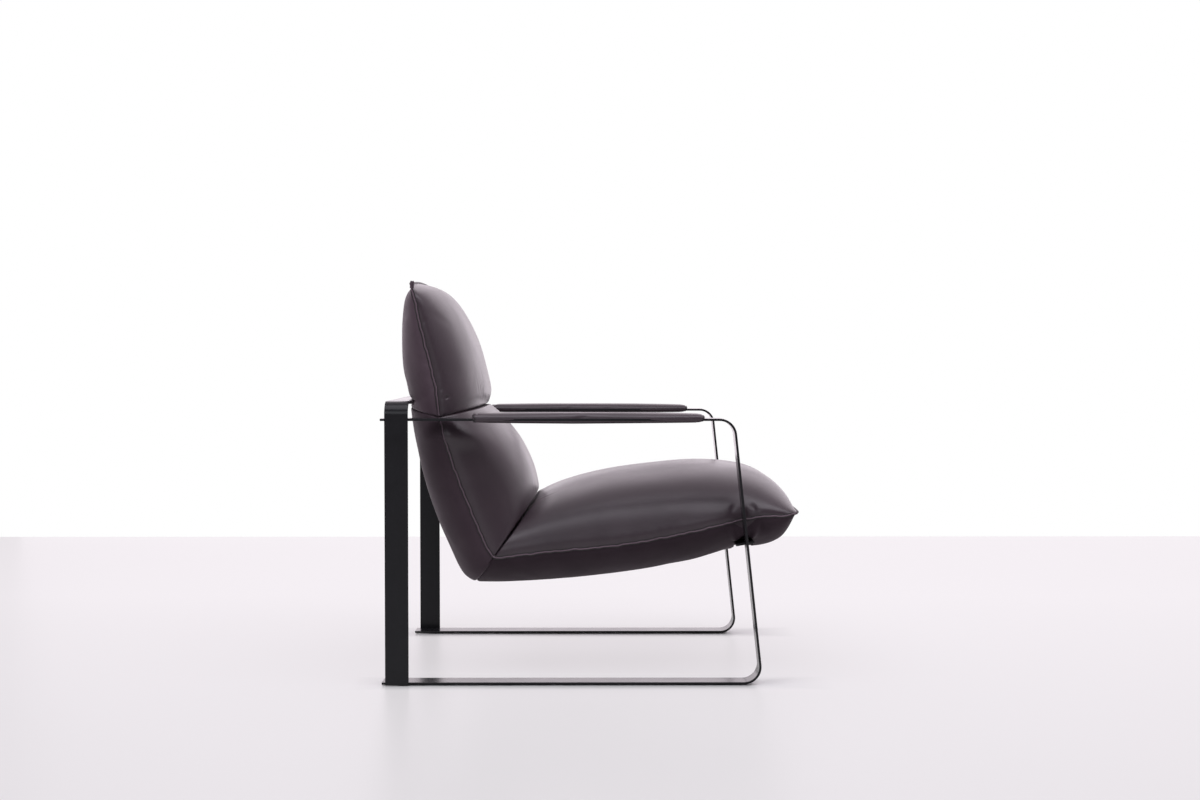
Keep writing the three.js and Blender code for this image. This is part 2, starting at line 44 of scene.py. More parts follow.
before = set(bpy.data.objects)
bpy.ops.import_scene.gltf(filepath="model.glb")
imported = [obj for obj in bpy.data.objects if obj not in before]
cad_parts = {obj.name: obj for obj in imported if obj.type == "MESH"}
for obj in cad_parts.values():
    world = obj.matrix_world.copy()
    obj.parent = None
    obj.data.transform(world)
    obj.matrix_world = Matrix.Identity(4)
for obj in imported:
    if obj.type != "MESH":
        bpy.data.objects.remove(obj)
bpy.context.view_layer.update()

MM = 0.001
BODY = "root"
SIDES = (1, -1)

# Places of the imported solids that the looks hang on
rear_low, rear_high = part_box("rear_frame")
loop_low, loop_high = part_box("side_loop_left")
front_bar_low, front_bar_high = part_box("front_crossbar")
BAR_WIDTH = rear_high.y - rear_low.y
BAR_THICKNESS = 5 * MM
FRONT_BAR_WIDTH = 40 * MM
FRONT_BAR_TILT = math.radians(10)
HANG = np.array([BAR_WIDTH, rear_high.z - BAR_THICKNESS])
LOOP_MIDDLE = (loop_low.x + loop_high.x) / 2
ARM_UP = loop_high.z - BAR_THICKNESS / 2
RUNNER_UP = loop_low.z + BAR_THICKNESS / 2
# Middle line of the front legs at the arm and at the runner, forward from the uprights' rear edge
LEG_TOP_FORWARD = 744.5 * MM
LEG_FOOT_FORWARD = 805.5 * MM
# Rims of cut bars and glides
RIM_ROUND = 0.5 * MM
RIM_ANGLE = math.radians(60)

# Dents of the seat's sides at the front legs, and how far the leather passes the loops beside them
LEG_DENT_REACH = 32 * MM
LEG_DENT_HEIGHT = 55 * MM
LEG_DENT_UP = 0.345
LEG_DENT_DEPTH = 7 * MM
LEG_DENT_SOFTNESS = 2.0 * MM
LEG_DENT_INWARD = (60 * MM, 15 * MM)
LEG_CLEARANCE = 0.6 * MM
LEG_BULGE = 8 * MM
# Channel over the front crossbar: room above the bar, and how far its walls stand from the bar's two edges
CHANNEL_ROOM = 1.5 * MM
CHANNEL_REAR = (5.5 * MM, 10 * MM)
CHANNEL_FRONT = (1 * MM, 5 * MM)
# At both ends of the bar the channel rises to a tent, and the leather over it hangs down
TENT_HEIGHT = 16 * MM
TENT_SPAN = (0.225, 0.26)
DRAPE_INSET = 4 * MM
DRAPE_REACH = 16 * MM
DRAPE_HEIGHTS = (14 * MM, 60 * MM)
# Dent of the head's rear round the rear crossbar
BAR_DENT_REACH = 9 * MM
BAR_DENT_DEPTH = 5 * MM
BAR_DENT_FADE = 10 * MM
# Swelling of the back's sides under the arm bars
ARM_SWELL = 9 * MM
ARM_SWELL_DROP = 38 * MM
ARM_SWELL_REACH = 22 * MM
ARM_SWELL_WIDTH = 80 * MM

# Grain of the leather: width of the creases, scale of the pores, and heights of the cells and the pores
GRAIN_CREASE = 0.22
PORE_SCALE = 0.45
CELL_HEIGHT = 0.6
PORE_HEIGHT = 0.7
# Noise is drawn out from this range; the leather's tone is this share of slow noise, the rest is its cells
NOISE_RANGE = (0.3, 0.7)
SLOW_TONE = 0.85
# Depth in metres and strength of the relief of the leather, the thread and the webbing
LEATHER_RELIEF = (0.12 * MM, 0.35)
THREAD_RELIEF = (0.1 * MM, 0.5)
WEBBING_RELIEF = (0.3 * MM, 0.6)
LEATHER_SHEEN = {"Sheen Weight": 0.04, "Sheen Roughness": 0.35, "Sheen Tint": (0.9, 0.82, 0.88, 1)}
# Roughness of the leather changes by this much with its tone
ROUGHNESS_SPREAD = 0.04
# Roughness at the darker and the lighter tone
THREAD_ROUGHNESS = (0.75, 0.55)
WEBBING_ROUGHNESS = (0.9, 0.7)
# Shares that make a second tone from a colour
THREAD_SHADE = 0.55
COAT_LIGHT = 1.35
# Darker and lighter colours
ZINC_COLOURS = ((0.36, 0.37, 0.39, 1), (0.5, 0.51, 0.53, 1))
INNER_COLOURS = ((0.02, 0.02, 0.021, 1), (0.035, 0.034, 0.034, 1))
WEBBING_COLOURS = ((0.01, 0.01, 0.012, 1), (0.04, 0.04, 0.045, 1))
RUBBER_LIGHT = (0.022, 0.022, 0.023, 1)
# Speckled finishes: roughness at both colours, scales of speckle and patches, relief, gloss and metal
FINISHES = {
    "black_powder_coat": ((0.19, 0.25), (850.0, 14.0), (0.05 * MM, 0.35), 0.22, 0.0),
    "zinc_plate": ((0.28, 0.4), (600.0, 20.0), (0.02 * MM, 0.4), 0.5, 1.0),
    "glide_rubber": ((0.69, 0.81), (800.0, 800.0 / 30), (0.08 * MM, 0.4), 0.5, 0.0),
    "inner_steel": ((0.44, 0.56), (500.0, 500.0 / 30), (0.04 * MM, 0.4), 0.5, 0.0),
}
# Leather of the faces, and matt lining of each cushion: tone next to the face, roughness and gloss; the
# linings' tones, lightest at the head, are painted light that each underside gets
FACE_LEATHER = (1.0, 0.34)
LININGS = {
    "head_cushion": (2.0, 0.58, 0.3),
    "back_cushion": (1.25, 0.64, 0.18),
    "seat_cushion": (0.92, 0.68, 0.12),
}

# Side profiles of the cushions in millimetres, forward and up from the rear crossbar's lower front edge
HEAD_PROFILE = {
    "seam": [(2, 255), (21, 165), (41, 88), (54, 30), (61, -31)],
    "face": [(0, 267), (44, 253), (82, 214), (121, 140), (144, 58), (151, 18), (141, -16)],
    "under": [(0, 267), (-18, 250), (-31, 218), (-38, 150), (-37, 80), (-26, 29), (-19, -12)],
}
BACK_PROFILE = {
    "seam": [(61, -31), (93, -143), (142, -266), (176, -338)],
    "face": [(146, -12), (176, -36), (220, -88), (250, -146), (264, -198), (263, -222)],
    "under": [(-20, -12), (-9, -88), (21, -212), (69, -332), (97, -390), (127, -410)],
}
SEAT_PROFILE = {
    "seam": [(176, -338), (293, -324), (452, -309), (590, -284), (700, -257), (760, -246), (811, -244),
             (838, -237)],
    "face": [(263, -221), (324, -193), (420, -167), (540, -150), (650, -143), (747, -154), (801, -180),
             (831, -210), (839, -237)],
    "under": [(127, -412), (206, -412.5), (350, -403.5), (495, -385.8), (606, -365), (650, -354.3),
              (689, -342), (704, -337), (740, -330), (772, -327), (798, -319), (820, -304), (835, -273),
              (839, -237)],
}

# Half widths of the cushions at shares of their length, in millimetres
HEAD_HALF_WIDTH = [(0.0, 284), (0.3, 280), (0.7, 279), (1.0, 282)]
BACK_HALF_WIDTH = [(0.0, 282), (0.12, 283), (0.5, 279), (1.0, 281)]
SEAT_HALF_WIDTH = [(0.0, 281), (0.35, 280), (0.6, 282), (0.72, 286), (0.79, 289), (0.87, 290), (0.94, 288),
                   (1.0, 283)]

# Fullness across the width: a higher number stays flat for longer before it falls to the seam
FULLNESS = {"face": 2.9, "under": 3.4}
# Roundness beside the seam at shares of the length: 2 leaves it upright as a circle does, 1 at a slant
ROUNDNESS = {"face": [(0, 2.2)], "under": [(0, 2.2)]}
SEAT_ROUNDNESS = {"face": [(0, 2.2)], "under": [(0.79, 1.5), (0.87, 2.3)]}
# The head's top edge is an arch between its ears, which runs out along this length
ARCH_FULLNESS = 2.0
ARCH_ROUNDNESS = 1.2
ARCH_LENGTH = 32 * MM

# The leather is drawn in along the side seams
SEAM_VALLEY_DEPTH = 2.4 * MM
SEAM_VALLEY_REACH = 9 * MM

# Arm pads in millimetres, forward from the uprights' rear edge and up from the floor
PAD_PROFILE = {
    "seam": [(185, 570.5), (681, 570)],
    "face": [(185, 572), (185.5, 575.8), (187.3, 578.8), (191, 580.8), (199, 581.4), (216, 581.4),
             (430, 581.4), (645, 581.2), (662, 581.1), (671, 580.7), (677, 579.4), (680.6, 576.6),
             (682, 572.5)],
    "under": [(185, 567), (186.2, 564.6), (189.5, 563.2), (197, 562.8), (214, 562.8), (430, 562.8),
              (645, 562.8), (662, 562.9), (671, 563.3), (677, 564.8), (681, 567.5)],
}
PAD_HALF_WIDTH = [(0.0, 24), (0.012, 26.2), (0.03, 27.2), (0.5, 27.4), (0.97, 27.0), (0.988, 26.2), (1.0, 24)]
PAD_FULLNESS = {"face": 4.5, "under": 9.0}

# Steps between two points of a smooth line, and points at which a cushion's length is measured
LINE_STEPS = 32
LENGTH_POINTS = 60
# Rows of a cushion lie at these distances from an end that rolls into a crease
CLOSE_ROWS = np.array([0, 1.5, 4, 7, 10.5, 14.5, 19.0]) * MM
# Distance over a cushion's face from seam to seam, which gives the number of its columns
FACE_GIRTH = 0.70
CAP_STEPS = 5

# Cloth of the simulation: supple leather that is held and gathered along its seams
CLOTH = {
    "quality": 6,
    "mass": 0.35,
    "tension_stiffness": 20,
    "compression_stiffness": 20,
    "shear_stiffness": 8,
    "bending_stiffness": 1.2,
    "vertex_group_mass": "held",
    "vertex_group_shrink": "gathered",
    "shrink_min": 0.0,
    "shrink_max": -0.05,
    "use_pressure": True,
}
CLOTH_FRAMES = 20
GATHER_LEVELS = 10
# Smoothing of the border between held and free cloth, the share cut off there, and smoothing of the outline
FREE_BLUR = 6
FREE_CUT = 0.25
OUTLINE_BLUR = 60

# A wrinkle fades within this share of both ends, and swells beside its furrow
WRINKLE_FADE = 0.08
WRINKLE_SWELL = 0.7
# Puckers start beside the seam; their ranges are shares of the mean, but for the width in metres
PUCKER_START = 3 * MM
PUCKER_SPACINGS = (0.6, 1.4)
PUCKER_LEANS = (-0.5, 0.5)
PUCKER_LENGTHS = (0.5, 1.3)
PUCKER_WIDTHS = (2.6 * MM, 4.5 * MM)
PUCKER_DEPTHS = (0.4, 1.0)

# Lines that the cushions and pads leave for the sewing: places and outward directions, by piece and line
sewing = {}


# Settings that a user would change


def length_setting(name, description, default):
    """A setting for a length in metres."""
    return bpy.props.FloatProperty(
        name=name, description=description, default=default, subtype="DISTANCE", unit="LENGTH")


def level_setting(name, description, default):
    """A setting for a plain number that isn't negative."""
    return bpy.props.FloatProperty(name=name, description=description, default=default, min=0)


def power_setting(name, description, default):
    """A setting for the power of a lamp in watts."""
    return bpy.props.FloatProperty(name=name, description=description, default=default, min=0, unit="POWER")


def colour_setting(name, description, *default):
    """A setting for a colour."""
    return bpy.props.FloatVectorProperty(
        name=name, description=description, default=(*default, 1), size=4, min=0, max=1, subtype="COLOR")


class LoungeFrameSettings(bpy.types.PropertyGroup):
    """Sizes and colours of the steel frame."""

    edge_round: length_setting("Edge round", "Radius on the bar's long edges", 0.9 * MM)
    rear_bend: length_setting("Rear bend", "Middle radius of the rear frame's upper bends", 27 * MM)
    loop_bend: length_setting("Loop bend", "Middle radius of the side loops' bends", 35 * MM)
    coat_colour: colour_setting("Powder coat", "Colour of the coated steel", 0.0098, 0.0098, 0.0115)
    glide_colour: colour_setting("Glides", "Colour of the rubber glides", 0.012, 0.012, 0.012)


class LoungeLeatherSettings(bpy.types.PropertyGroup):
    """Sizes and colours of the leather cushions and arm pads."""

    leather_dark: colour_setting("Leather, dark", "Darker tone of the leather", 0.036, 0.024, 0.031)
    leather_light: colour_setting("Leather, light", "Lighter tone of the leather", 0.05, 0.0337, 0.0432)
    thread_colour: colour_setting("Thread", "Colour of the sewing thread", 0.062, 0.05, 0.053)
    seam_width: length_setting("Seam width", "Width of the felled side seams", 8.4 * MM)
    seam_height: length_setting("Seam height", "How far the felled seams stand off the leather", 1.1 * MM)
    bead_width: length_setting("Bead width", "Width of the bead along the middle of the side seams", 3 * MM)
    bead_height: length_setting("Bead height", "How far the bead stands off the seam", 1.6 * MM)
    stitch_pitch: length_setting("Stitch pitch", "Distance from one stitch to the next", 4.6 * MM)
    stitch_length: length_setting("Stitch length", "Length of one stitch", 3.5 * MM)
    stitch_width: length_setting("Stitch width", "Thickness of the sewing thread", 0.8 * MM)
    pressure: level_setting("Filling pressure", "Pressure that swells the cushions in the simulation", 4.0)
    row_step: length_setting("Cloth cell", "Size of a cloth cell before subdivision", 6.5 * MM)


class LoungeStageSettings(bpy.types.PropertyGroup):
    """The floor, light and camera."""

    floor_colour: colour_setting("Floor", "Colour of the pale floor", 0.64, 0.66, 0.645)
    # The plain tone pales from near to far, a painted reflection of the bright wall
    floor_near_tone: colour_setting("Floor near", "Plain tone before the chair", 0.8, 0.765, 0.79)
    floor_far_tone: colour_setting("Floor far", "Plain tone behind the chair", 0.98, 0.94, 0.97)
    lens: level_setting("Lens", "Focal length of the camera in millimetres", 46.5)
    room_light: level_setting("Room light", "Share of the room's light that falls on matt surfaces", 0.6)
    dark_side: level_setting("Dark side", "Strength of the room behind the camera", 0.22)
    wall_light: power_setting("Wall light", "Power of the bright wall behind the chair", 46.0)
    ceiling_light: power_setting("Ceiling light", "Power of the softbox over the chair", 84.0)
    window_light: power_setting("Window light", "Power of the tall window behind the camera", 19.0)


# Nodes


# Sockets of a mix node for colours
MIX_FIRST = 6
MIX_SECOND = 7
MIX_RESULT = 2


def feed(tree, socket, value):
    """Links a socket to another one, or gives it a value."""
    if isinstance(value, bpy.types.NodeSocket):
        tree.links.new(value, socket)
    else:
        socket.default_value = value


def add_node(tree, kind, inputs=None, **settings):
    """A new node with its settings, and with values or sockets for its inputs."""
    made = tree.nodes.new(kind)
    for name, value in settings.items():
        setattr(made, name, value)
    for name, value in (inputs or {}).items():
        feed(tree, made.inputs[name], value)
    return made


def node_out(tree, kind, inputs=None, output=0, **settings):
    """The output socket of a new node: its first one, if no other is named."""
    return add_node(tree, kind, inputs, **settings).outputs[output]


def node_group(name, kind, inputs, outputs, output_type):
    """A node group and the sockets at its two ends; an input is given by its default or its type."""
    tree = bpy.data.node_groups.new(name, kind)
    for socket, default in inputs.items():
        if isinstance(default, str):
            tree.interface.new_socket(socket, in_out="INPUT", socket_type=default)
            continue
        socket_type = "NodeSocketVector" if isinstance(default, tuple) else "NodeSocketFloat"
        made = tree.interface.new_socket(socket, in_out="INPUT", socket_type=socket_type)
        made.default_value = default
    for socket in outputs:
        tree.interface.new_socket(socket, in_out="OUTPUT", socket_type=output_type)
    return tree, tree.nodes.new("NodeGroupInput").outputs, tree.nodes.new("NodeGroupOutput").inputs


def math_node(tree, operation, *values):
    """A sum or other operation on sockets or numbers."""
    return node_out(tree, "ShaderNodeMath", dict(enumerate(values)), operation=operation)


def range_node(tree, value, low, high, to_low, to_high):
    """A value moved from one range to another."""
    return node_out(tree, "ShaderNodeMapRange", {
        "Value": value, "From Min": low, "From Max": high, "To Min": to_low, "To Max": to_high})


def object_place(tree):
    """The place on an object that is being shaded."""
    return node_out(tree, "ShaderNodeTexCoord", output="Object")


def noise(tree, place, scale, detail, roughness):
    """Soft noise."""
    return node_out(tree, "ShaderNodeTexNoise", {
        "Vector": place, "Scale": scale, "Detail": detail, "Roughness": roughness}, "Fac")


def mix_colours(tree, factor, first, second):
    """A mix of two colours by a factor."""
    colours = {"Factor": factor, MIX_FIRST: first, MIX_SECOND: second}
    return node_out(tree, "ShaderNodeMix", colours, MIX_RESULT, data_type="RGBA")


def mix_shaders(tree, share, first, second, output):
    """Mixes two shaders by a share and hands the result to an output node."""
    mixed = node_out(tree, "ShaderNodeMixShader", {"Fac": share, 1: first, 2: second})
    feed(tree, tree.nodes[output].inputs["Surface"], mixed)


def ray_kinds(tree):
    """Sockets that tell the camera's own rays, and those that were mirrored or let through."""
    path = add_node(tree, "ShaderNodeLightPath").outputs
    mirrored = math_node(tree, "MAXIMUM", path["Is Glossy Ray"], path["Is Transmission Ray"])
    return path["Is Camera Ray"], mirrored


def leather_grain_group(name):
    """Grain of smooth leather: fine cells parted by creases, and a slow change of tone."""
    scales = {"Grain Scale": 700.0, "Tone Scale": 9.0}
    tree, start, end = node_group(name, "ShaderNodeTree", scales, ("Height", "Tone"), "NodeSocketFloat")
    place = object_place(tree)
    cells = node_out(tree, "ShaderNodeTexVoronoi", {
        "Vector": place, "Scale": start["Grain Scale"], "Randomness": 0.9,
    }, "Distance", feature="DISTANCE_TO_EDGE")
    hollow = range_node(tree, cells, 0.0, GRAIN_CREASE, 0.0, 1.0)
    pores = noise(tree, place, math_node(tree, "MULTIPLY", start["Grain Scale"], PORE_SCALE), 3.0, 0.6)
    grain = math_node(tree, "MULTIPLY", hollow, CELL_HEIGHT)
    fine = math_node(tree, "MULTIPLY", pores, PORE_HEIGHT)
    feed(tree, end["Height"], math_node(tree, "ADD", grain, fine))
    slow = noise(tree, place, start["Tone Scale"], 4.0, 0.55)
    tone = range_node(tree, slow, *NOISE_RANGE, 0.0, SLOW_TONE)
    cell_tone = math_node(tree, "MULTIPLY", hollow, 1 - SLOW_TONE)
    feed(tree, end["Tone"], math_node(tree, "ADD", tone, cell_tone))
    return tree


def speckle_group(name):
    """Fine even speckle for coats, rubber and plating."""
    scales = {"Scale": 900.0, "Patch Scale": 12.0}
    tree, start, end = node_group(name, "ShaderNodeTree", scales, ("Height", "Patch"), "NodeSocketFloat")
    place = object_place(tree)
    feed(tree, end["Height"], noise(tree, place, start["Scale"], 2.0, 0.5))
    patch = noise(tree, place, start["Patch Scale"], 3.0, 0.6)
    feed(tree, end["Patch"], range_node(tree, patch, *NOISE_RANGE, 0.0, 1.0))
    return tree


def group_node(tree, name, maker, inputs=None):
    """The output sockets of a new node of a shared group, which is made once."""
    group = bpy.data.node_groups.get(name) or maker(name)
    return add_node(tree, "ShaderNodeGroup", inputs, node_tree=group).outputs


def shape_group(name, source, material, sizes):
    """A geometry node group that takes a geometry, a material and sizes; gives it and its inputs."""
    inputs = {source: "NodeSocketGeometry", material: "NodeSocketMaterial", **sizes}
    return node_group(name, "GeometryNodeTree", inputs, ("Mesh",), "NodeSocketGeometry")[:2]


def close_shape(tree, shape, material):
    """Realizes a group's shape, gives it its material and hands it out."""
    joined = node_out(tree, "GeometryNodeRealizeInstances", {"Geometry": shape})
    coated = node_out(tree, "GeometryNodeSetMaterial", {"Geometry": joined, "Material": material})
    feed(tree, tree.nodes["Group Output"].inputs["Mesh"], coated)
    return tree


def fillet(tree, curve, radius, steps):
    """A curve with rounded corners."""
    inputs = {"Curve": curve, "Radius": radius, "Count": steps}
    return node_out(tree, "GeometryNodeFilletCurve", inputs, mode="POLY")


def rounded_section(tree, width, height, rounding, steps):
    """A flat rectangle with rounded corners."""
    section = node_out(tree, "GeometryNodeCurvePrimitiveQuadrilateral", {"Width": width, "Height": height})
    return fillet(tree, section, rounding, steps)


def sweep(tree, path, section, scale=1.0):
    """A section moved along a path to a mesh with closed ends."""
    return node_out(tree, "GeometryNodeCurveToMesh", {
        "Curve": path, "Profile Curve": section, "Scale": scale, "Fill Caps": True})


def laid_across(tree, path, across):
    """A path whose sections lie across it in a given direction."""
    return node_out(tree, "GeometryNodeSetCurveNormal", {"Curve": path, "Normal": across}, mode="FREE")


def run_nodes(piece, tree, values):
    """Runs a node tree on a piece and keeps the result as its plain mesh."""
    modifier = piece.modifiers.new(tree.name, "NODES")
    modifier.node_group = tree
    for item in tree.interface.items_tree:
        if item.item_type == "SOCKET" and item.in_out == "INPUT" and item.name in values:
            modifier[item.identifier] = values[item.name]
    apply_modifiers(piece)


# Materials


def material_once(name, maker, *values):
    """The material of that name, made once by its maker."""
    return bpy.data.materials.get(name) or maker(name, *values)


def new_material(name):
    """A material with a shader, and its tree and shader node."""
    made = bpy.data.materials.new(name)
    made.use_nodes = True
    return made, made.node_tree, made.node_tree.nodes["Principled BSDF"]


def scaled(colour, share):
    """A colour made lighter or darker."""
    return tuple(share * part for part in colour[:3]) + (1,)


def paint(tree, shader, factor, colours, roughness):
    """Colour and roughness that change with a factor from the first to the second of each."""
    feed(tree, shader.inputs["Base Color"], mix_colours(tree, factor, *colours))
    feed(tree, shader.inputs["Roughness"], range_node(tree, factor, 0.0, 1.0, *roughness))


def bump(tree, shader, height, distance, strength):
    """Height of a surface, in metres, into the shader's normal."""
    normal = node_out(tree, "ShaderNodeBump", {"Height": height, "Distance": distance, "Strength": strength})
    feed(tree, shader.inputs["Normal"], normal)


def leather_material(name, settings, share, roughness, gloss=0.5):
    """Smooth semi-matt leather, in a lighter or darker tone."""
    made, tree, shader = new_material(name)
    grain = group_node(tree, "Leather grain", leather_grain_group)
    colours = scaled(settings.leather_dark, share), scaled(settings.leather_light, share)
    paint(tree, shader, grain["Tone"], colours, (roughness + ROUGHNESS_SPREAD, roughness - ROUGHNESS_SPREAD))
    shader.inputs["Specular IOR Level"].default_value = gloss
    for socket, value in LEATHER_SHEEN.items():
        shader.inputs[socket].default_value = value
    bump(tree, shader, grain["Height"], *LEATHER_RELIEF)
    return made


def face_leather(settings):
    """The leather of the cushions' faces and of the pads."""
    return material_once("espresso_leather", leather_material, settings, *FACE_LEATHER)


def thread_material(name, settings):
    """Twisted polyester thread."""
    made, tree, shader = new_material(name)
    twist = node_out(tree, "ShaderNodeTexWave", {
        "Vector": object_place(tree), "Scale": 420.0, "Distortion": 1.5, "Detail": 1.0,
    }, "Fac", bands_direction="DIAGONAL")
    colours = scaled(settings.thread_colour, THREAD_SHADE), settings.thread_colour
    paint(tree, shader, twist, colours, THREAD_ROUGHNESS)
    bump(tree, shader, twist, *THREAD_RELIEF)
    return made


def speckled_material(name, *colours):
    """A speckled finish: two close tones in patches, and a fine surface."""
    made, tree, shader = new_material(name)
    roughness, (scale, patch_scale), relief, gloss, metallic = FINISHES[name]
    speckle = group_node(tree, "Speckle", speckle_group, {"Scale": scale, "Patch Scale": patch_scale})
    paint(tree, shader, speckle["Patch"], colours, roughness)
    shader.inputs["Specular IOR Level"].default_value = gloss
    shader.inputs["Metallic"].default_value = metallic
    bump(tree, shader, speckle["Height"], *relief)
    return made


def powder_coat(settings):
    """Semi-gloss black powder coat with a faint orange peel."""
    colours = settings.coat_colour, scaled(settings.coat_colour, COAT_LIGHT)
    return material_once("black_powder_coat", speckled_material, *colours)


def webbing_material(name):
    """Woven belt: bands both ways."""
    made, tree, shader = new_material(name)
    place = object_place(tree)
    threads = []
    for direction in ("X", "Y"):
        inputs = {"Vector": place, "Scale": 160.0}
        threads.append(node_out(tree, "ShaderNodeTexWave", inputs, "Fac", bands_direction=direction))
    weave = math_node(tree, "MAXIMUM", *threads)
    paint(tree, shader, weave, WEBBING_COLOURS, WEBBING_ROUGHNESS)
    bump(tree, shader, weave, *WEBBING_RELIEF)
    return made


# Meshes and lines


def mesh_object(name, vertices, faces=(), edges=()):
    """A mesh object at the origin, smooth shaded."""
    mesh = bpy.data.meshes.new(name)
    mesh.from_pydata([tuple(vertex) for vertex in vertices], edges, faces)
    mesh.shade_smooth()
    mesh.update()
    made = bpy.data.objects.new(name, mesh)
    bpy.context.scene.collection.objects.link(made)
    return made


def coordinates(mesh):
    """Vertex places of a mesh as an array."""
    flat = np.empty(len(mesh.vertices) * 3)
    mesh.vertices.foreach_get("co", flat)
    return flat.reshape(-1, 3)


def set_coordinates(mesh, places):
    """Writes vertex places back into a mesh."""
    mesh.vertices.foreach_set("co", np.ascontiguousarray(places, dtype=float).ravel())
    mesh.update()


def apply_modifiers(piece):
    """Turns what a piece's modifiers give into its own plain mesh."""
    graph = bpy.context.evaluated_depsgraph_get()
    plain = bpy.data.meshes.new_from_object(piece.evaluated_get(graph))
    old = piece.data
    piece.modifiers.clear()
    piece.data = plain
    bpy.data.meshes.remove(old)


def subdivide(piece):
    """Makes a piece's mesh twice as fine."""
    finer = piece.modifiers.new("Subdivision", "SUBSURF")
    finer.levels = 1
    finer.render_levels = 1
    apply_modifiers(piece)


def round_rims(piece):
    """Rounds the sharp rims of a piece."""
    rim = piece.modifiers.new("Rim", "BEVEL")
    rim.width = RIM_ROUND
    rim.segments = 2
    rim.angle_limit = RIM_ANGLE
    apply_modifiers(piece)


def give_material(piece, material):
    """Puts one material on a whole piece."""
    piece.data.materials.clear()
    piece.data.materials.append(material)


def unit(vectors):
    """Vectors brought to the length 1."""
    return vectors / np.linalg.norm(vectors, axis=-1, keepdims=True)


def across_of(places, normals):
    """Directions across a line that lies on a surface."""
    return unit(np.cross(normals, np.gradient(places, axis=0)))


def travelled_along(line):
    """Distances along a line at its points."""
    return np.concatenate([[0], np.cumsum(np.linalg.norm(np.diff(line, axis=0), axis=1))])


def values_at(values, travelled, wanted):
    """Rows of values along a line at wanted distances."""
    return np.stack([np.interp(wanted, travelled, column) for column in values.T], axis=1)


def line_through(points, shares):
    """Points at shares of the length of a smooth line through the given points."""
    points = np.asarray(points, float)
    steps = np.linspace(0, 1, LINE_STEPS, endpoint=False)[:, None]
    pieces = []
    last = len(points) - 1
    for k in range(last):
        start, stop = points[k], points[k + 1]
        leave = (stop - points[max(k - 1, 0)]) / 2
        arrive = (points[min(k + 2, last)] - start) / 2
        cubic = 2 * start - 2 * stop + leave + arrive
        square = -3 * start + 3 * stop - 2 * leave - arrive
        pieces.append(cubic * steps ** 3 + square * steps ** 2 + leave * steps + start)
    dense = np.vstack(pieces + [points[-1:]])
    travelled = travelled_along(dense)
    return values_at(dense, travelled, np.asarray(shares) * travelled[-1])


def evenly_along(points, count):
    """A line of points moved to even distances along itself."""
    travelled = travelled_along(points)
    return values_at(points, travelled, np.linspace(0, travelled[-1], count))


def settled(line, times):
    """A line of points or directions smoothed along itself, with its ends kept."""
    for _ in range(times):
        line = np.vstack([line[:1], (line[:-2] + 2 * line[1:-1] + line[2:]) / 4, line[-1:]])
    return line


def stretched(line, first, last, span=3):
    """A line drawn out at both ends by two lengths, each in the direction of the last few points there."""
    made = line.copy()
    made[0] += first * unit(line[0] - line[span])
    made[-1] += last * unit(line[-1] - line[-1 - span])
    return made


def smooth_step(value, low, high):
    """0 below low, 1 above high, with a soft change between."""
    share = np.clip((value - low) / (high - low), 0, 1)
    return share * share * (3 - 2 * share)


def end_taper(count, step, length, share):
    """Widths along a line of points, which fall from 1 to a share within a length of both ends."""
    from_end = np.minimum(np.arange(count), np.arange(count)[::-1]) * step
    return share + (1 - share) * smooth_step(from_end, 0, length)


# Cushions


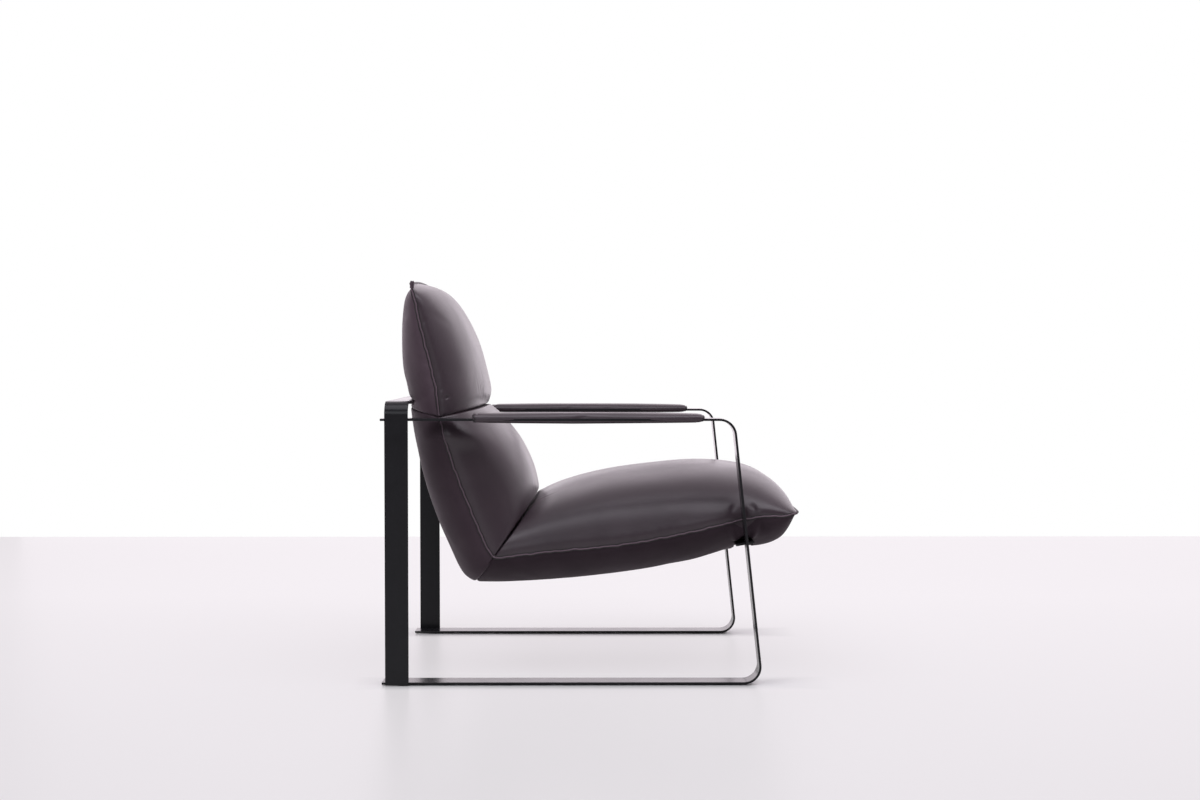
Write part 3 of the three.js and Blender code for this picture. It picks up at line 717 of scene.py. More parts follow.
class CushionForm:
    """Rings of points round a cushion: over its face from the left seam to the right, and back under it."""

    FINE_STEPS = 240
    END_OVERLAP = 0.6 * MM
    # A rolled rim takes up this share of the cushion's thickness at most
    ROLL_SHARE = 0.3

    def __init__(self, profile, half_width, shares, columns, fullness, roundness, closed, origin, arch=None):
        self.columns = columns
        self.closed = closed
        arched = np.zeros(len(shares)) if arch is None else np.exp(-(shares / arch) ** 2)
        lines = {}
        for name, points in profile.items():
            lines[name] = line_through(np.array(points) * MM + origin, shares)
        wide_at, wide = zip(*half_width)
        widths = np.interp(shares, wide_at, wide) * MM
        round_at = {name: np.interp(shares, *zip(*values)) for name, values in roundness.items()}
        turn = np.cos(np.linspace(0, math.pi, self.FINE_STEPS))
        rings = []
        for row, width in enumerate(widths):
            ring = []
            for name in ("face", "under"):
                full = fullness[name] + (ARCH_FULLNESS - fullness[name]) * arched[row]
                round_by = round_at[name][row] + (ARCH_ROUNDNESS - round_at[name][row]) * arched[row]
                rise = (1 - np.abs(turn) ** full) ** (1 / round_by)
                seam = lines["seam"][row]
                side_view = seam + (lines[name][row] - seam) * rise[:, None]
                places = np.stack([width * turn, rear_high.y - side_view[:, 0], side_view[:, 1]], axis=1)
                ring.append(evenly_along(places, columns + 1))
            rings.append(np.vstack([ring[0], ring[1][-2:0:-1]]))
        self.grid = np.array(rings)

    def normals(self):
        """Outward directions at the grid's points."""
        along = np.gradient(self.grid, axis=0)
        around = np.roll(self.grid, -1, axis=1) - np.roll(self.grid, 1, axis=1)
        made = np.cross(around, along)
        made /= np.linalg.norm(made, axis=2, keepdims=True) + 1e-12
        outward = self.grid - self.grid.mean(axis=1, keepdims=True)
        return made if (made * outward).sum() > 0 else -made

    def roll_end(self, row, radius_face, radius_under, radius_seam):
        """Rolls the rim at an end row inwards, by radii for the face, the underside and the seams between."""
        ring_size = 2 * self.columns
        turn = np.sin(2 * math.pi * np.arange(ring_size) / ring_size)
        radius = np.where(turn >= 0, radius_face, radius_under)
        radius = radius_seam + (radius - radius_seam) * np.sqrt(np.abs(turn))
        thickness = np.linalg.norm(self.grid[row] - self.partner(self.grid[row]), axis=1)
        radius = np.minimum(radius, self.ROLL_SHARE * thickness)
        step = 1 if row == 0 else -1
        normal = self.normals()
        distance = np.zeros(ring_size)
        place = row
        moved = self.grid.copy()
        while 0 <= place < len(self.grid) and (distance < radius).any():
            left = np.clip(radius - distance, 0, None)
            drop = radius - np.sqrt(np.clip(radius ** 2 - left ** 2, 0, None))
            moved[place] -= normal[place] * drop[:, None]
            following = place + step
            if not 0 <= following < len(self.grid):
                break
            distance = distance + np.linalg.norm(self.grid[following] - self.grid[place], axis=1)
            place = following
        lead = self.grid[row] - self.grid[row + step]
        lead /= np.linalg.norm(lead, axis=1, keepdims=True)
        moved[row] += lead * self.END_OVERLAP
        self.grid = moved

    def side_lines(self):
        """The lines of points along the left and the right seam."""
        return self.grid[:, 0], self.grid[:, self.columns]

    def partner(self, ring):
        """Each ring point's opposite at the same place across the width."""
        return ring[(-np.arange(len(ring))) % len(ring)]

    def mesh_data(self, grid, cap_steps):
        """Vertices, faces and the grid's vertex numbers, with closed ends merged and open ends capped."""
        rows, ring_size = grid.shape[:2]
        numbers = np.arange(rows * ring_size).reshape(rows, ring_size)
        vertices = [place for ring in grid for place in ring]
        for row, is_closed in ((0, self.closed[0]), (rows - 1, self.closed[1])):
            if is_closed:
                for column in range(self.columns + 1, ring_size):
                    numbers[row, column] = numbers[row, ring_size - column]
        faces = []
        for row in range(rows - 1):
            for column in range(ring_size):
                following = (column + 1) % ring_size
                faces.append((numbers[row, column], numbers[row, following],
                              numbers[row + 1, following], numbers[row + 1, column]))
        for row, is_closed, flip in ((0, self.closed[0], True), (rows - 1, self.closed[1], False)):
            if is_closed:
                continue
            lines = []
            for column in range(self.columns + 1):
                back = (ring_size - column) % ring_size
                line = [numbers[row, column]]
                if 0 < column < self.columns:
                    for step in range(1, cap_steps):
                        through = grid[row, back] - grid[row, column]
                        vertices.append(grid[row, column] + through * step / cap_steps)
                        line.append(len(vertices) - 1)
                    line.append(numbers[row, back])
                else:
                    line = line * (cap_steps + 1)
                lines.append(line)
            for first, second in zip(lines[:-1], lines[1:]):
                for step in range(cap_steps):
                    corners = (first[step], second[step], second[step + 1], first[step + 1])
                    corners = tuple(dict.fromkeys(corners))
                    faces.append(tuple(reversed(corners)) if flip else corners)
        used = sorted({number for face in faces for number in face})
        new_number = {old: new for new, old in enumerate(used)}
        faces = [tuple(new_number[number] for number in face) for face in faces]
        numbers = np.vectorize(new_number.get)(numbers)
        return np.array(vertices)[used], faces, numbers


def row_shares(length, step, dense_start, dense_end):
    """Shares of a length at which rows lie: even, and closer together at ends that roll into a crease."""
    start = CLOSE_ROWS if dense_start else np.array([0.0])
    stop = length - CLOSE_ROWS[::-1] if dense_end else np.array([length])
    count = max(2, round((stop[0] - start[-1]) / step) + 1)
    middle = np.linspace(start[-1], stop[0], count)[1:-1]
    return np.concatenate([start, middle, stop]) / length


def blurred(field, times):
    """A grid of values smoothed with its neighbours, round the rings and along them."""
    for _ in range(times):
        padded = np.concatenate([field[:1], field, field[-1:]])
        around = np.roll(field, 1, axis=1) + np.roll(field, -1, axis=1)
        field = (around + padded[:-2] + padded[2:] + 2 * field) / 6
    return field


def simulated(name, vertices, faces, pinned, gathered, pressure):
    """Vertex places of a mesh after the cloth simulation; gathered lists vertices by their level."""
    pad = mesh_object(name, vertices, faces)
    pad.vertex_groups.new(name="held").add(pinned, 1.0, "REPLACE")
    gather = pad.vertex_groups.new(name="gathered")
    for level, chosen in gathered.items():
        gather.add(chosen, level / GATHER_LEVELS, "REPLACE")
    cloth = pad.modifiers.new("Cloth", "CLOTH")
    for setting, value in CLOTH.items():
        setattr(cloth.settings, setting, value)
    cloth.settings.uniform_pressure_force = pressure
    cloth.settings.effector_weights.gravity = 0
    cloth.point_cache.frame_start = 1
    cloth.point_cache.frame_end = CLOTH_FRAMES
    scene = bpy.context.scene
    for step in range(CLOTH_FRAMES):
        scene.frame_set(step + 1)
    graph = bpy.context.evaluated_depsgraph_get()
    places = coordinates(pad.evaluated_get(graph).data)
    scene.frame_set(1)
    bpy.data.objects.remove(pad)
    return places


def swell(form, held, settings, cap, shrink, ease, name):
    """Simulates a slightly smaller cushion as cloth and eases the result to the measured outline."""
    normal = form.normals()
    free = np.where(held, 0.0, 1.0)
    free = np.clip(blurred(free, FREE_BLUR) * (1 + FREE_CUT) - FREE_CUT, 0, 1) * np.where(held, 0, 1)
    small = form.grid - normal * (shrink * free)[:, :, None]
    vertices, faces, numbers = form.mesh_data(small, CAP_STEPS)
    off_grid = set(range(len(vertices))) - set(numbers.ravel().tolist())
    pinned = sorted(set(numbers[held].tolist()) | off_grid)
    levels = np.round(ease * GATHER_LEVELS).astype(int)
    gathered = {level + 1: np.unique(numbers[levels == level + 1]).tolist() for level in range(GATHER_LEVELS)}
    swollen = simulated(name + "_cloth", vertices, faces, pinned, gathered, settings.pressure)[numbers]
    shift = swollen - small
    reach = np.linalg.norm(shift, axis=2, keepdims=True)
    shift *= np.minimum(1, cap / (reach + 1e-9))
    outward = (shift * normal).sum(axis=2)
    return small + shift + normal * (shrink * free - blurred(outward, OUTLINE_BLUR))[:, :, None]


def build_cushion(profile, half_width, roundness, closed, settings):
    """The form of one cushion."""
    face = line_through(np.array(profile["face"]) * MM, np.linspace(0, 1, LENGTH_POINTS))
    length = np.linalg.norm(np.diff(face, axis=0), axis=1).sum()
    shares = row_shares(length, settings.row_step, not closed[0], not closed[1])
    columns = round(FACE_GIRTH / settings.row_step)
    arch = ARCH_LENGTH / length if closed[0] else None
    return CushionForm(profile, half_width, shares, columns, FULLNESS, roundness, closed, HANG, arch)


def forward_of(places):
    """Distance forward from the uprights' rear edge."""
    return rear_high.y - places[:, 1]


def press_front_bar(places):
    """Lifts the seat's underside clear of the front crossbar, with steep walls before and behind it."""
    middle_forward = rear_high.y - (front_bar_low.y + front_bar_high.y) / 2
    middle_up = (front_bar_low.z + front_bar_high.z) / 2
    half = FRONT_BAR_WIDTH / 2 * math.cos(FRONT_BAR_TILT)
    forward = forward_of(places)
    from_middle = np.abs(forward - middle_forward)
    at_ends = smooth_step(np.abs(places[:, 0]), *TENT_SPAN)
    roof = middle_up + math.tan(FRONT_BAR_TILT) * (forward - middle_forward)
    roof += BAR_THICKNESS / 2 + CHANNEL_ROOM
    roof += TENT_HEIGHT * np.clip(1 - from_middle / half, 0, 1) * at_ends
    inside = smooth_step(forward, *(middle_forward - half + wall for wall in CHANNEL_REAR))
    inside *= 1 - smooth_step(forward, *(middle_forward + half + wall for wall in CHANNEL_FRONT))
    lifted = places.copy()
    lifted[:, 2] += inside * np.clip(roof - places[:, 2], 0, None)
    near = 1 - smooth_step(from_middle, half - DRAPE_INSET, half + DRAPE_REACH)
    near *= at_ends * (1 - smooth_step(places[:, 2] - roof, *DRAPE_HEIGHTS))
    lifted[:, 2] -= near * np.clip(lifted[:, 2] - roof, 0, None)
    return lifted


def press_rear_bar(places):
    """Dents the head's rear round the rear crossbar, which is sunk in it."""
    away = (places[:, 2] - rear_high.z + BAR_THICKNESS / 2) / BAR_DENT_REACH
    rear = 1 - smooth_step(forward_of(places), BAR_WIDTH - BAR_DENT_FADE, BAR_WIDTH + BAR_DENT_FADE)
    moved = places.copy()
    moved[:, 1] -= BAR_DENT_DEPTH * np.exp(-away ** 2) * rear
    return moved


def press_legs(places):
    """Dents the seat's sides where the front legs press on them."""
    share = (places[:, 2] - RUNNER_UP) / (ARM_UP - RUNNER_UP)
    leg = LEG_FOOT_FORWARD + (LEG_TOP_FORWARD - LEG_FOOT_FORWARD) * share
    away = (forward_of(places) - leg) / LEG_DENT_REACH
    raised = (places[:, 2] - LEG_DENT_UP) / LEG_DENT_HEIGHT
    outer = smooth_step(np.abs(places[:, 0]), *(loop_low.x - inward for inward in LEG_DENT_INWARD))
    reach = np.abs(places[:, 0]) - LEG_DENT_DEPTH * np.exp(-away ** 2 - raised ** 2) * outer
    limit = loop_low.x - LEG_CLEARANCE + LEG_BULGE * (1 - np.exp(-away ** 2))
    beyond = (reach - limit) / LEG_DENT_SOFTNESS
    moved = places.copy()
    moved[:, 0] = np.sign(places[:, 0]) * (reach - LEG_DENT_SOFTNESS * np.logaddexp(0, beyond))
    return moved


def press_arms(places):
    """Lets the back's sides swell out under the arm bars."""
    down = ARM_UP - places[:, 2]
    swelling = ARM_SWELL * np.exp(-((down - ARM_SWELL_DROP) / ARM_SWELL_REACH) ** 2)
    outer = smooth_step(np.abs(places[:, 0]), loop_low.x - ARM_SWELL_WIDTH, loop_low.x - ARM_SWELL_WIDTH / 4)
    moved = places.copy()
    moved[:, 0] += np.sign(places[:, 0]) * swelling * outer
    return moved


def sink_seams(form, places, normals):
    """Draws the leather in along the side seams."""
    tree = KDTree(2 * len(form.grid))
    for number, place in enumerate(np.vstack(form.side_lines())):
        tree.insert(place, number)
    tree.balance()
    away = np.array([tree.find(place)[2] for place in places]) / SEAM_VALLEY_REACH
    return places - normals * (SEAM_VALLEY_DEPTH * np.exp(-away ** 2))[:, None]


def wrinkle(places, normals, start, stop, width, depth):
    """A soft furrow along a short line, with a slight swelling at both sides."""
    line = stop - start
    share = np.clip((places - start) @ line / (line @ line), 0, 1)
    away = np.linalg.norm(places - start - share[:, None] * line, axis=1) / width
    fade = np.sin(math.pi * (WRINKLE_FADE + (1 - 2 * WRINKLE_FADE) * share))
    furrow = (1 - WRINKLE_SWELL * away ** 2) * np.exp(-away ** 2) * fade * depth
    return places - normals * furrow[:, None]


def pucker(places, normals, line, chance, spacing, length, depth):
    """Short furrows that run out of a seam to both sides, where its thread gathers the leather."""
    along = unit(np.gradient(line, axis=0))
    travelled = travelled_along(line)
    at = 0.0
    while at < travelled[-1]:
        at += chance.uniform(*PUCKER_SPACINGS) * spacing
        row = min(int(np.searchsorted(travelled, at)), len(line) - 1)
        side = chance.choice((-1, 1))
        out = np.cross(along[row], np.array([math.copysign(1, line[row, 0]), 0, 0])) * side
        out = out + along[row] * chance.uniform(*PUCKER_LEANS)
        reach = chance.uniform(*PUCKER_LENGTHS) * length
        start = line[row] + out * PUCKER_START
        width = chance.uniform(*PUCKER_WIDTHS)
        share = chance.uniform(*PUCKER_DEPTHS)
        places = wrinkle(places, normals, start, start + out * reach, width, share * depth)
    return places


def side_place(across, forward, up):
    """A place given across, and forward and up from the rear crossbar's lower front edge, in millimetres."""
    return np.array([across * MM, rear_high.y - HANG[0] - forward * MM, HANG[1] + up * MM])


# Operators


class LOUNGE_OT_stage(bpy.types.Operator):
    """Floor, soft light, white surround and camera"""

    bl_idname = "lounge_chair.stage"
    bl_label = "Stage"

    FLOOR_FAR = 2.4
    FLOOR_NEAR = -12.0
    FLOOR_SIDE = 12.0
    FLOOR_ROUGHNESS = 0.36
    FLOOR_GLOSS = 0.5
    # Scale of the floor's slight clouds, and their darker share of its colour
    CLOUD_SCALE = 1.5
    CLOUD_SHADE = 0.975
    # The floor's plain tone pales between these depths, a painted reflection of the bright wall far off; its
    # share falls to nothing under the runners, between these distances beside them and from the middle along
    # them
    FLOOR_PALING = (-1.2, 0.9)
    PLAIN_SHARE = 0.6
    RUNNER_SHADE = (0.024, 0.07)
    RUNNER_ENDS = (0.4, 0.52)
    ROOM_COLOUR = (1, 0.915, 0.98, 1)
    # Direction of the room's bright side, and where it fades between the dark and the bright side
    BRIGHT_SIDE = (0.9, -0.03, -0.1)
    FADE = (-0.6, 0.25)
    # Lamps: name, setting with their power, size, place, aim and colour
    LAMPS = (
        ("bright_wall", "wall_light", (5.7, 3.6), (2.6, -0.55, 1.8), (-1, 0, 0), (1.0, 0.92, 0.98)),
        ("ceiling_softbox", "ceiling_light", (2.0, 5.0), (-1.4, -0.2, 2.9), (0, 0, -1), (0.95, 0.93, 1.0)),
        ("front_window", "window_light", (1.2, 2.0), (-5.0, 1.0, 2.4), (1, 0, 0), (0.92, 0.95, 1.0)),
    )
    CAMERA_PLACE = (-3.629, -0.0062, 0.7045)
    CAMERA_LOOK = (0.99959, -0.00401, -0.02844)
    CAMERA_SENSOR = 36.0

    def execute(self, context):
        settings = context.scene.lounge_stage
        self.make_floor(settings)
        self.make_world(context.scene, settings)
        self.make_lamps(context.scene, settings)
        self.make_camera(context.scene, settings)
        context.scene.view_settings.view_transform = "Standard"
        return {"FINISHED"}

    def make_floor(self, settings):
        far, near, side = self.FLOOR_FAR, self.FLOOR_NEAR, self.FLOOR_SIDE
        corners = [(near, -side, 0), (far, -side, 0), (far, side, 0), (near, side, 0)]
        floor = mesh_object("floor", corners, [(0, 1, 2, 3)])
        made, tree, shader = new_material("pale_floor")
        place = object_place(tree)
        cloud = noise(tree, place, self.CLOUD_SCALE, 3.0, 0.5)
        tones = scaled(settings.floor_colour, self.CLOUD_SHADE), settings.floor_colour
        feed(tree, shader.inputs["Base Color"], mix_colours(tree, cloud, *tones))
        shader.inputs["Roughness"].default_value = self.FLOOR_ROUGHNESS
        shader.inputs["Specular IOR Level"].default_value = self.FLOOR_GLOSS
        self.show_floor(tree, shader, place, settings)
        give_material(floor, made)

    def show_floor(self, tree, shader, place, settings):
        """Shows a share of the floor as its plain pale colour, so that shadows on it stay light."""
        split = add_node(tree, "ShaderNodeSeparateXYZ", {"Vector": place}).outputs
        far = range_node(tree, split["X"], *self.FLOOR_PALING, 0.0, 1.0)
        tone = mix_colours(tree, far, settings.floor_near_tone, settings.floor_far_tone)
        plain = node_out(tree, "ShaderNodeEmission", {"Color": tone})
        seen = math_node(tree, "MAXIMUM", *ray_kinds(tree))
        width, depth = (math_node(tree, "ABSOLUTE", split[axis]) for axis in ("X", "Y"))
        beside = math_node(tree, "ABSOLUTE", math_node(tree, "SUBTRACT", width, LOOP_MIDDLE))
        across = range_node(tree, beside, *self.RUNNER_SHADE, 0.0, self.PLAIN_SHARE)
        along = range_node(tree, depth, *self.RUNNER_ENDS, 0.0, self.PLAIN_SHARE)
        share = math_node(tree, "MULTIPLY", seen, math_node(tree, "MAXIMUM", across, along))
        mix_shaders(tree, share, shader.outputs["BSDF"], plain, "Material Output")

    def make_world(self, scene, settings):
        world = bpy.data.worlds.new("white_room")
        scene.world = world
        world.use_nodes = True
        tree = world.node_tree
        shown = tree.nodes["Background"]
        shown.inputs["Color"].default_value = (1, 1, 1, 1)
        shown.inputs["Strength"].default_value = 1.0
        seen, mirrored = ray_kinds(tree)
        direction = node_out(tree, "ShaderNodeTexCoord", output="Generated")
        facing = node_out(tree, "ShaderNodeVectorMath", {0: direction, 1: self.BRIGHT_SIDE}, "Value",
                          operation="DOT_PRODUCT")
        share = range_node(tree, facing, *self.FADE, settings.dark_side, 1.0)
        level = range_node(tree, mirrored, 0.0, 1.0, settings.room_light, 1.0)
        strength = math_node(tree, "MULTIPLY", share, level)
        lit = node_out(tree, "ShaderNodeBackground", {"Color": self.ROOM_COLOUR, "Strength": strength})
        mix_shaders(tree, seen, lit, shown.outputs["Background"], "World Output")

    def make_lamps(self, scene, settings):
        for name, setting, size, place, aim, colour in self.LAMPS:
            light = bpy.data.lights.new(name, "AREA")
            light.shape = "RECTANGLE"
            light.size, light.size_y = size
            light.energy = getattr(settings, setting)
            light.color = colour
            self.put(scene, name, light, place, aim).visible_camera = False

    def make_camera(self, scene, settings):
        data = bpy.data.cameras.new("photo_camera")
        data.lens = settings.lens
        data.sensor_width = self.CAMERA_SENSOR
        scene.camera = self.put(scene, "photo_camera", data, self.CAMERA_PLACE, self.CAMERA_LOOK)

    def put(self, scene, name, data, place, aim):
        """A lamp or camera at a place, looking in a direction."""
        made = bpy.data.objects.new(name, data)
        made.location = place
        made.rotation_euler = Vector(aim).to_track_quat("-Z", "Y").to_euler()
        scene.collection.objects.link(made)
        return made


class LOUNGE_OT_bent_bars(bpy.types.Operator):
    """Flat steel bars bent to the rear frame and the side loops"""

    bl_idname = "lounge_chair.bent_bars"
    bl_label = "Bent bars"

    BEND_STEPS = 14
    EDGE_STEPS = 3
    SHARP_ANGLE = math.radians(35)
    FACE_WEIGHT = 100
    # The runners end a little before the arms do
    RUNNER_SHORTER = 2 * MM

    def bar_tree(self):
        """Node tree: a filleted path swept with a flat bar's section."""
        tree, start = shape_group("Bent flat bar", "Path", "Coat", {
            "Bar Width": BAR_WIDTH, "Bar Thickness": BAR_THICKNESS, "Bend Radius": 30 * MM, "Edge Round": MM,
            "Width Direction": (1.0, 0.0, 0.0)})
        path = node_out(tree, "GeometryNodeMeshToCurve", {"Mesh": start["Path"]})
        bent = fillet(tree, path, start["Bend Radius"], self.BEND_STEPS)
        laid = laid_across(tree, bent, start["Width Direction"])
        section = rounded_section(
            tree, start["Bar Width"], start["Bar Thickness"], start["Edge Round"], self.EDGE_STEPS)
        return close_shape(tree, sweep(tree, laid, section), start["Coat"])

    def execute(self, context):
        settings = context.scene.lounge_frame
        coat = powder_coat(settings)
        tree = self.bar_tree()
        side = rear_high.x - BAR_THICKNESS / 2
        top = rear_high.z - BAR_THICKNESS / 2
        depth = (rear_low.y + rear_high.y) / 2
        low = rear_low.z
        corners = [(-side, depth, low), (-side, depth, top), (side, depth, top), (side, depth, low)]
        rear = self.bend("rear_frame_bar", tree, corners, settings.rear_bend, (0, 1, 0), coat)
        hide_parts("rear_frame")
        for name, across in (("left", LOOP_MIDDLE), ("right", -LOOP_MIDDLE)):
            corners = [
                (across, loop_high.y, ARM_UP),
                (across, rear_high.y - LEG_TOP_FORWARD, ARM_UP),
                (across, rear_high.y - LEG_FOOT_FORWARD, RUNNER_UP),
                (across, loop_high.y - self.RUNNER_SHORTER, RUNNER_UP),
            ]
            loop = self.bend(f"side_loop_bar_{name}", tree, corners, settings.loop_bend, (1, 0, 0), coat)
            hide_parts(f"side_loop_{name}")
        middle = (front_bar_low + front_bar_high) / 2
        ends = [(front_bar_low.x, middle.y, middle.z), (front_bar_high.x, middle.y, middle.z)]
        tilt = (0, -math.cos(FRONT_BAR_TILT), math.sin(FRONT_BAR_TILT))
        front = self.bend("front_crossbar_bar", tree, ends, settings.loop_bend, tilt, coat, FRONT_BAR_WIDTH)
        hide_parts("front_crossbar")
        return {"FINISHED"}

    def bend(self, name, tree, corners, radius, width_direction, coat, width=BAR_WIDTH):
        """One bent bar as a plain mesh that rides on the chair."""
        bar = mesh_object(name, corners, edges=[(i, i + 1) for i in range(len(corners) - 1)])
        values = {
            "Bar Width": width, "Bar Thickness": BAR_THICKNESS, "Bend Radius": radius,
            "Edge Round": bpy.context.scene.lounge_frame.edge_round, "Width Direction": width_direction,
            "Coat": coat,
        }
        run_nodes(bar, tree, values)
        round_rims(bar)
        bar.data.shade_smooth()
        bar.data.set_sharp_from_angle(angle=self.SHARP_ANGLE)
        flat = bar.modifiers.new("Flat faces", "WEIGHTED_NORMAL")
        flat.weight = self.FACE_WEIGHT
        flat.keep_sharp = True
        apply_modifiers(bar)
        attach(bar, BODY)
        return bar


class LOUNGE_OT_cushions(bpy.types.Operator):
    """Head, back and seat cushions of the leather sling"""

    bl_idname = "lounge_chair.cushions"
    bl_label = "Cushions"

    # Rim radii at the ends in millimetres: face, underside, seams
    HEAD_END = (11, 3, 3.5)
    BACK_START = (3, 3, 4)
    BACK_END = (10, 7, 5)
    SEAT_START = (3, 7, 5)
    # Folds on a cushion's sides in millimetres: half widths where they start and stop, then for each its
    # start forward and up, run, drop, width and depth
    HEAD_DIMPLE = (279, 279, ((79, 10, 0, -4, 8, 5.0),))
    LEG_FOLDS = (286, 284, (
        (704, -262, 6, 44, 5, 3.6), (694, -236, 10, -40, 9, 3.0), (736, -257, -2, 40, 4.5, 4.4),
        (744, -238, -10, -36, 9, 3.0), (756, -258, 3, 46, 6, 2.2), (684, -270, 8, 40, 6, 1.6),
        (772, -256, 4, 40, 6, 1.2),
    ))
    # Wrinkles at the creases in millimetres: seed, places across, start and end forward and up, what a
    # wrinkle's length adds to the end, and the ranges it is drawn from in the order of drawing
    WRINKLES = {
        "head_cushion": (11, (-234, 240, 18), (148, -4), (150, -4), (-0.18, 1), {
            "lean": (-6, 6), "length": (38, 84), "shift": (-4, 4), "width": (4, 6.5), "depth": (0.8, 1.8)}),
        "back_cushion": (23, (-226, 240, 32), (263, -215), (262, -215), (0, 1), {
            "shift": (-8, 8), "lean": (-12, 12), "length": (20, 42), "width": (4, 7), "depth": (0.3, 0.8)}),
        "seat_cushion": (31, (-250, 256, 25), (266, -224), (266, -203), (1, 0), {
            "shift": (-6, 6), "lean": (-16, 16), "length": (24, 60), "width": (4, 6), "depth": (0.4, 1.0)}),
    }
    # How far the corners are drawn out to ears, in millimetres outward, back and up
    HEAD_EARS = (1.0, 0.5, 5)
    SEAT_EARS = (1.0, -1.5, 0.5)
    EAR_REACH = 8 * MM
    PUCKER_SPACING = 15 * MM
    PUCKER_LENGTH = 26 * MM
    PUCKER_DEPTH = {"head_cushion": 1.1 * MM, "back_cushion": 0.6 * MM, "seat_cushion": 0.45 * MM}
    CLOTH_CAP = 26 * MM
    SHRINK = 8 * MM
    GATHER_COLUMNS = 4.0
    # How often each cushion's simulated folds are smoothed, and what is kept of them at tight ends
    SMOOTHING = {"head_cushion": 1, "back_cushion": 3, "seat_cushion": 5}
    TIGHT_SHARE = 0.15
    TIGHT_LENGTHS = (15 * MM, 130 * MM)

    def execute(self, context):
        settings = context.scene.lounge_leather
        cushions = (
            ("head_cushion", HEAD_PROFILE, HEAD_HALF_WIDTH, ROUNDNESS, (None, self.HEAD_END),
             self.finish_head),
            ("back_cushion", BACK_PROFILE, BACK_HALF_WIDTH, ROUNDNESS, (self.BACK_START, self.BACK_END),
             self.finish_back),
            ("seat_cushion", SEAT_PROFILE, SEAT_HALF_WIDTH, SEAT_ROUNDNESS, (self.SEAT_START, None),
             self.finish_seat),
        )
        for node, profile, half_width, roundness, ends, finish in cushions:
            form = self.filled_form(node, profile, half_width, roundness, ends, settings)
            vertices, faces, _ = form.mesh_data(form.grid, CAP_STEPS)
            piece = mesh_object(node + "_leather", vertices, faces)
            give_material(piece, face_leather(settings))
            self.line_underside(node, piece, form, settings)
            subdivide(piece)
            places = coordinates(piece.data)
            normals = np.array([vertex.normal for vertex in piece.data.vertices])
            places = sink_seams(form, places, normals)
            chance = np.random.default_rng(len(places))
            for line in form.side_lines():
                places = pucker(places, normals, line, chance, self.PUCKER_SPACING, self.PUCKER_LENGTH,
                                self.PUCKER_DEPTH[node])
            places = self.crease_wrinkles(places, normals, *self.WRINKLES[node])
            set_coordinates(piece.data, finish(form, places, normals))
            self.leave_seams(node, form, piece)
            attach(piece, BODY)
            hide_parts(node)
        return {"FINISHED"}

    def line_underside(self, node, piece, form, settings):
        """Gives the underside its own matt leather, whose tone for each cushion is painted light."""
        matt = material_once(node.replace("cushion", "lining"), leather_material, settings, *LININGS[node])
        piece.data.materials.append(matt)
        rows, ring_size = form.grid.shape[:2]
        for polygon in piece.data.polygons[:(rows - 1) * ring_size]:
            polygon.material_index = int(polygon.index % ring_size >= form.columns)

    def filled_form(self, node, profile, half_width, roundness, ends, settings):
        """The form of one cushion, rolled at its creases and swollen by the cloth simulation."""
        closed = tuple(end is None for end in ends)
        form = build_cushion(profile, half_width, roundness, closed, settings)
        rows, ring_size = form.grid.shape[:2]
        for row, end in zip((0, rows - 1), ends):
            if end is not None:
                form.roll_end(row, *(radius * MM for radius in end))
        held = np.zeros((rows, ring_size), bool)
        held[:, [0, form.columns]] = True
        held[[0, -1]] = True
        column = np.arange(ring_size) % form.columns
        reach = np.minimum(column, form.columns - column)
        gather = np.repeat(np.exp(-reach / self.GATHER_COLUMNS)[None], rows, axis=0)
        swollen = swell(form, held, settings, self.CLOTH_CAP, self.SHRINK, gather, node)
        form.grid = self.calmed(form.grid, swollen, self.SMOOTHING[node])
        return form

    def calmed(self, rest, swollen, smoothing):
        """Smooths the simulated folds and keeps less of them towards the ends, where the leather is tight."""
        moves = swollen - rest
        for _ in range(smoothing):
            around = (np.roll(moves, 1, axis=1) + np.roll(moves, -1, axis=1)) / 2
            moves = (moves + around) / 2
            moves[1:-1] = (moves[:-2] + 2 * moves[1:-1] + moves[2:]) / 4
        travelled = travelled_along(rest.mean(axis=1))
        from_end = np.minimum(travelled, travelled[-1] - travelled)
        share = self.TIGHT_SHARE + (1 - self.TIGHT_SHARE) * smooth_step(from_end, *self.TIGHT_LENGTHS)
        return rest + moves * share[:, None, None]

    def crease_wrinkles(self, places, normals, seed, row, start_at, stop_at, direction, ranges):
        """A row of wrinkles that run out of a crease."""
        chance = np.random.default_rng(seed)
        for across in np.arange(*row):
            drawn = {name: chance.uniform(*limits) for name, limits in ranges.items()}
            start = side_place(across + drawn["shift"], *start_at)
            end = np.add(stop_at, np.multiply(direction, drawn["length"]))
            stop = side_place(across + drawn["lean"], *end)
            places = wrinkle(places, normals, start, stop, drawn["width"] * MM, drawn["depth"] * MM)
        return places

    def fold_sides(self, places, normals, start_width, stop_width, folds):
        """Folds on both sides of a cushion."""
        for side in SIDES:
            for forward, up, run, drop, width, depth in folds:
                start = side_place(side * start_width, forward, up)
                stop = side_place(side * stop_width, forward + run, up - drop)
                places = wrinkle(places, normals, start, stop, width * MM, depth * MM)
        return places

    def pull_ears(self, places, corners, pull):
        """Draws the leather near two corners out to small ears."""
        for side, corner in zip(SIDES, corners):
            distance = np.linalg.norm(places - corner, axis=1)
            outward = np.multiply(pull, (side * MM, MM, MM))
            places = places + np.outer(np.exp(-(distance / self.EAR_REACH) ** 2), outward)
        return places

    def finish_head(self, form, places, normals):
        """Room for the rear crossbar, ears at the top corners and a dimple beside each seam."""
        places = press_rear_bar(places)
        places = self.pull_ears(places, form.grid[0, [0, form.columns]], self.HEAD_EARS)
        return self.fold_sides(places, normals, *self.HEAD_DIMPLE)

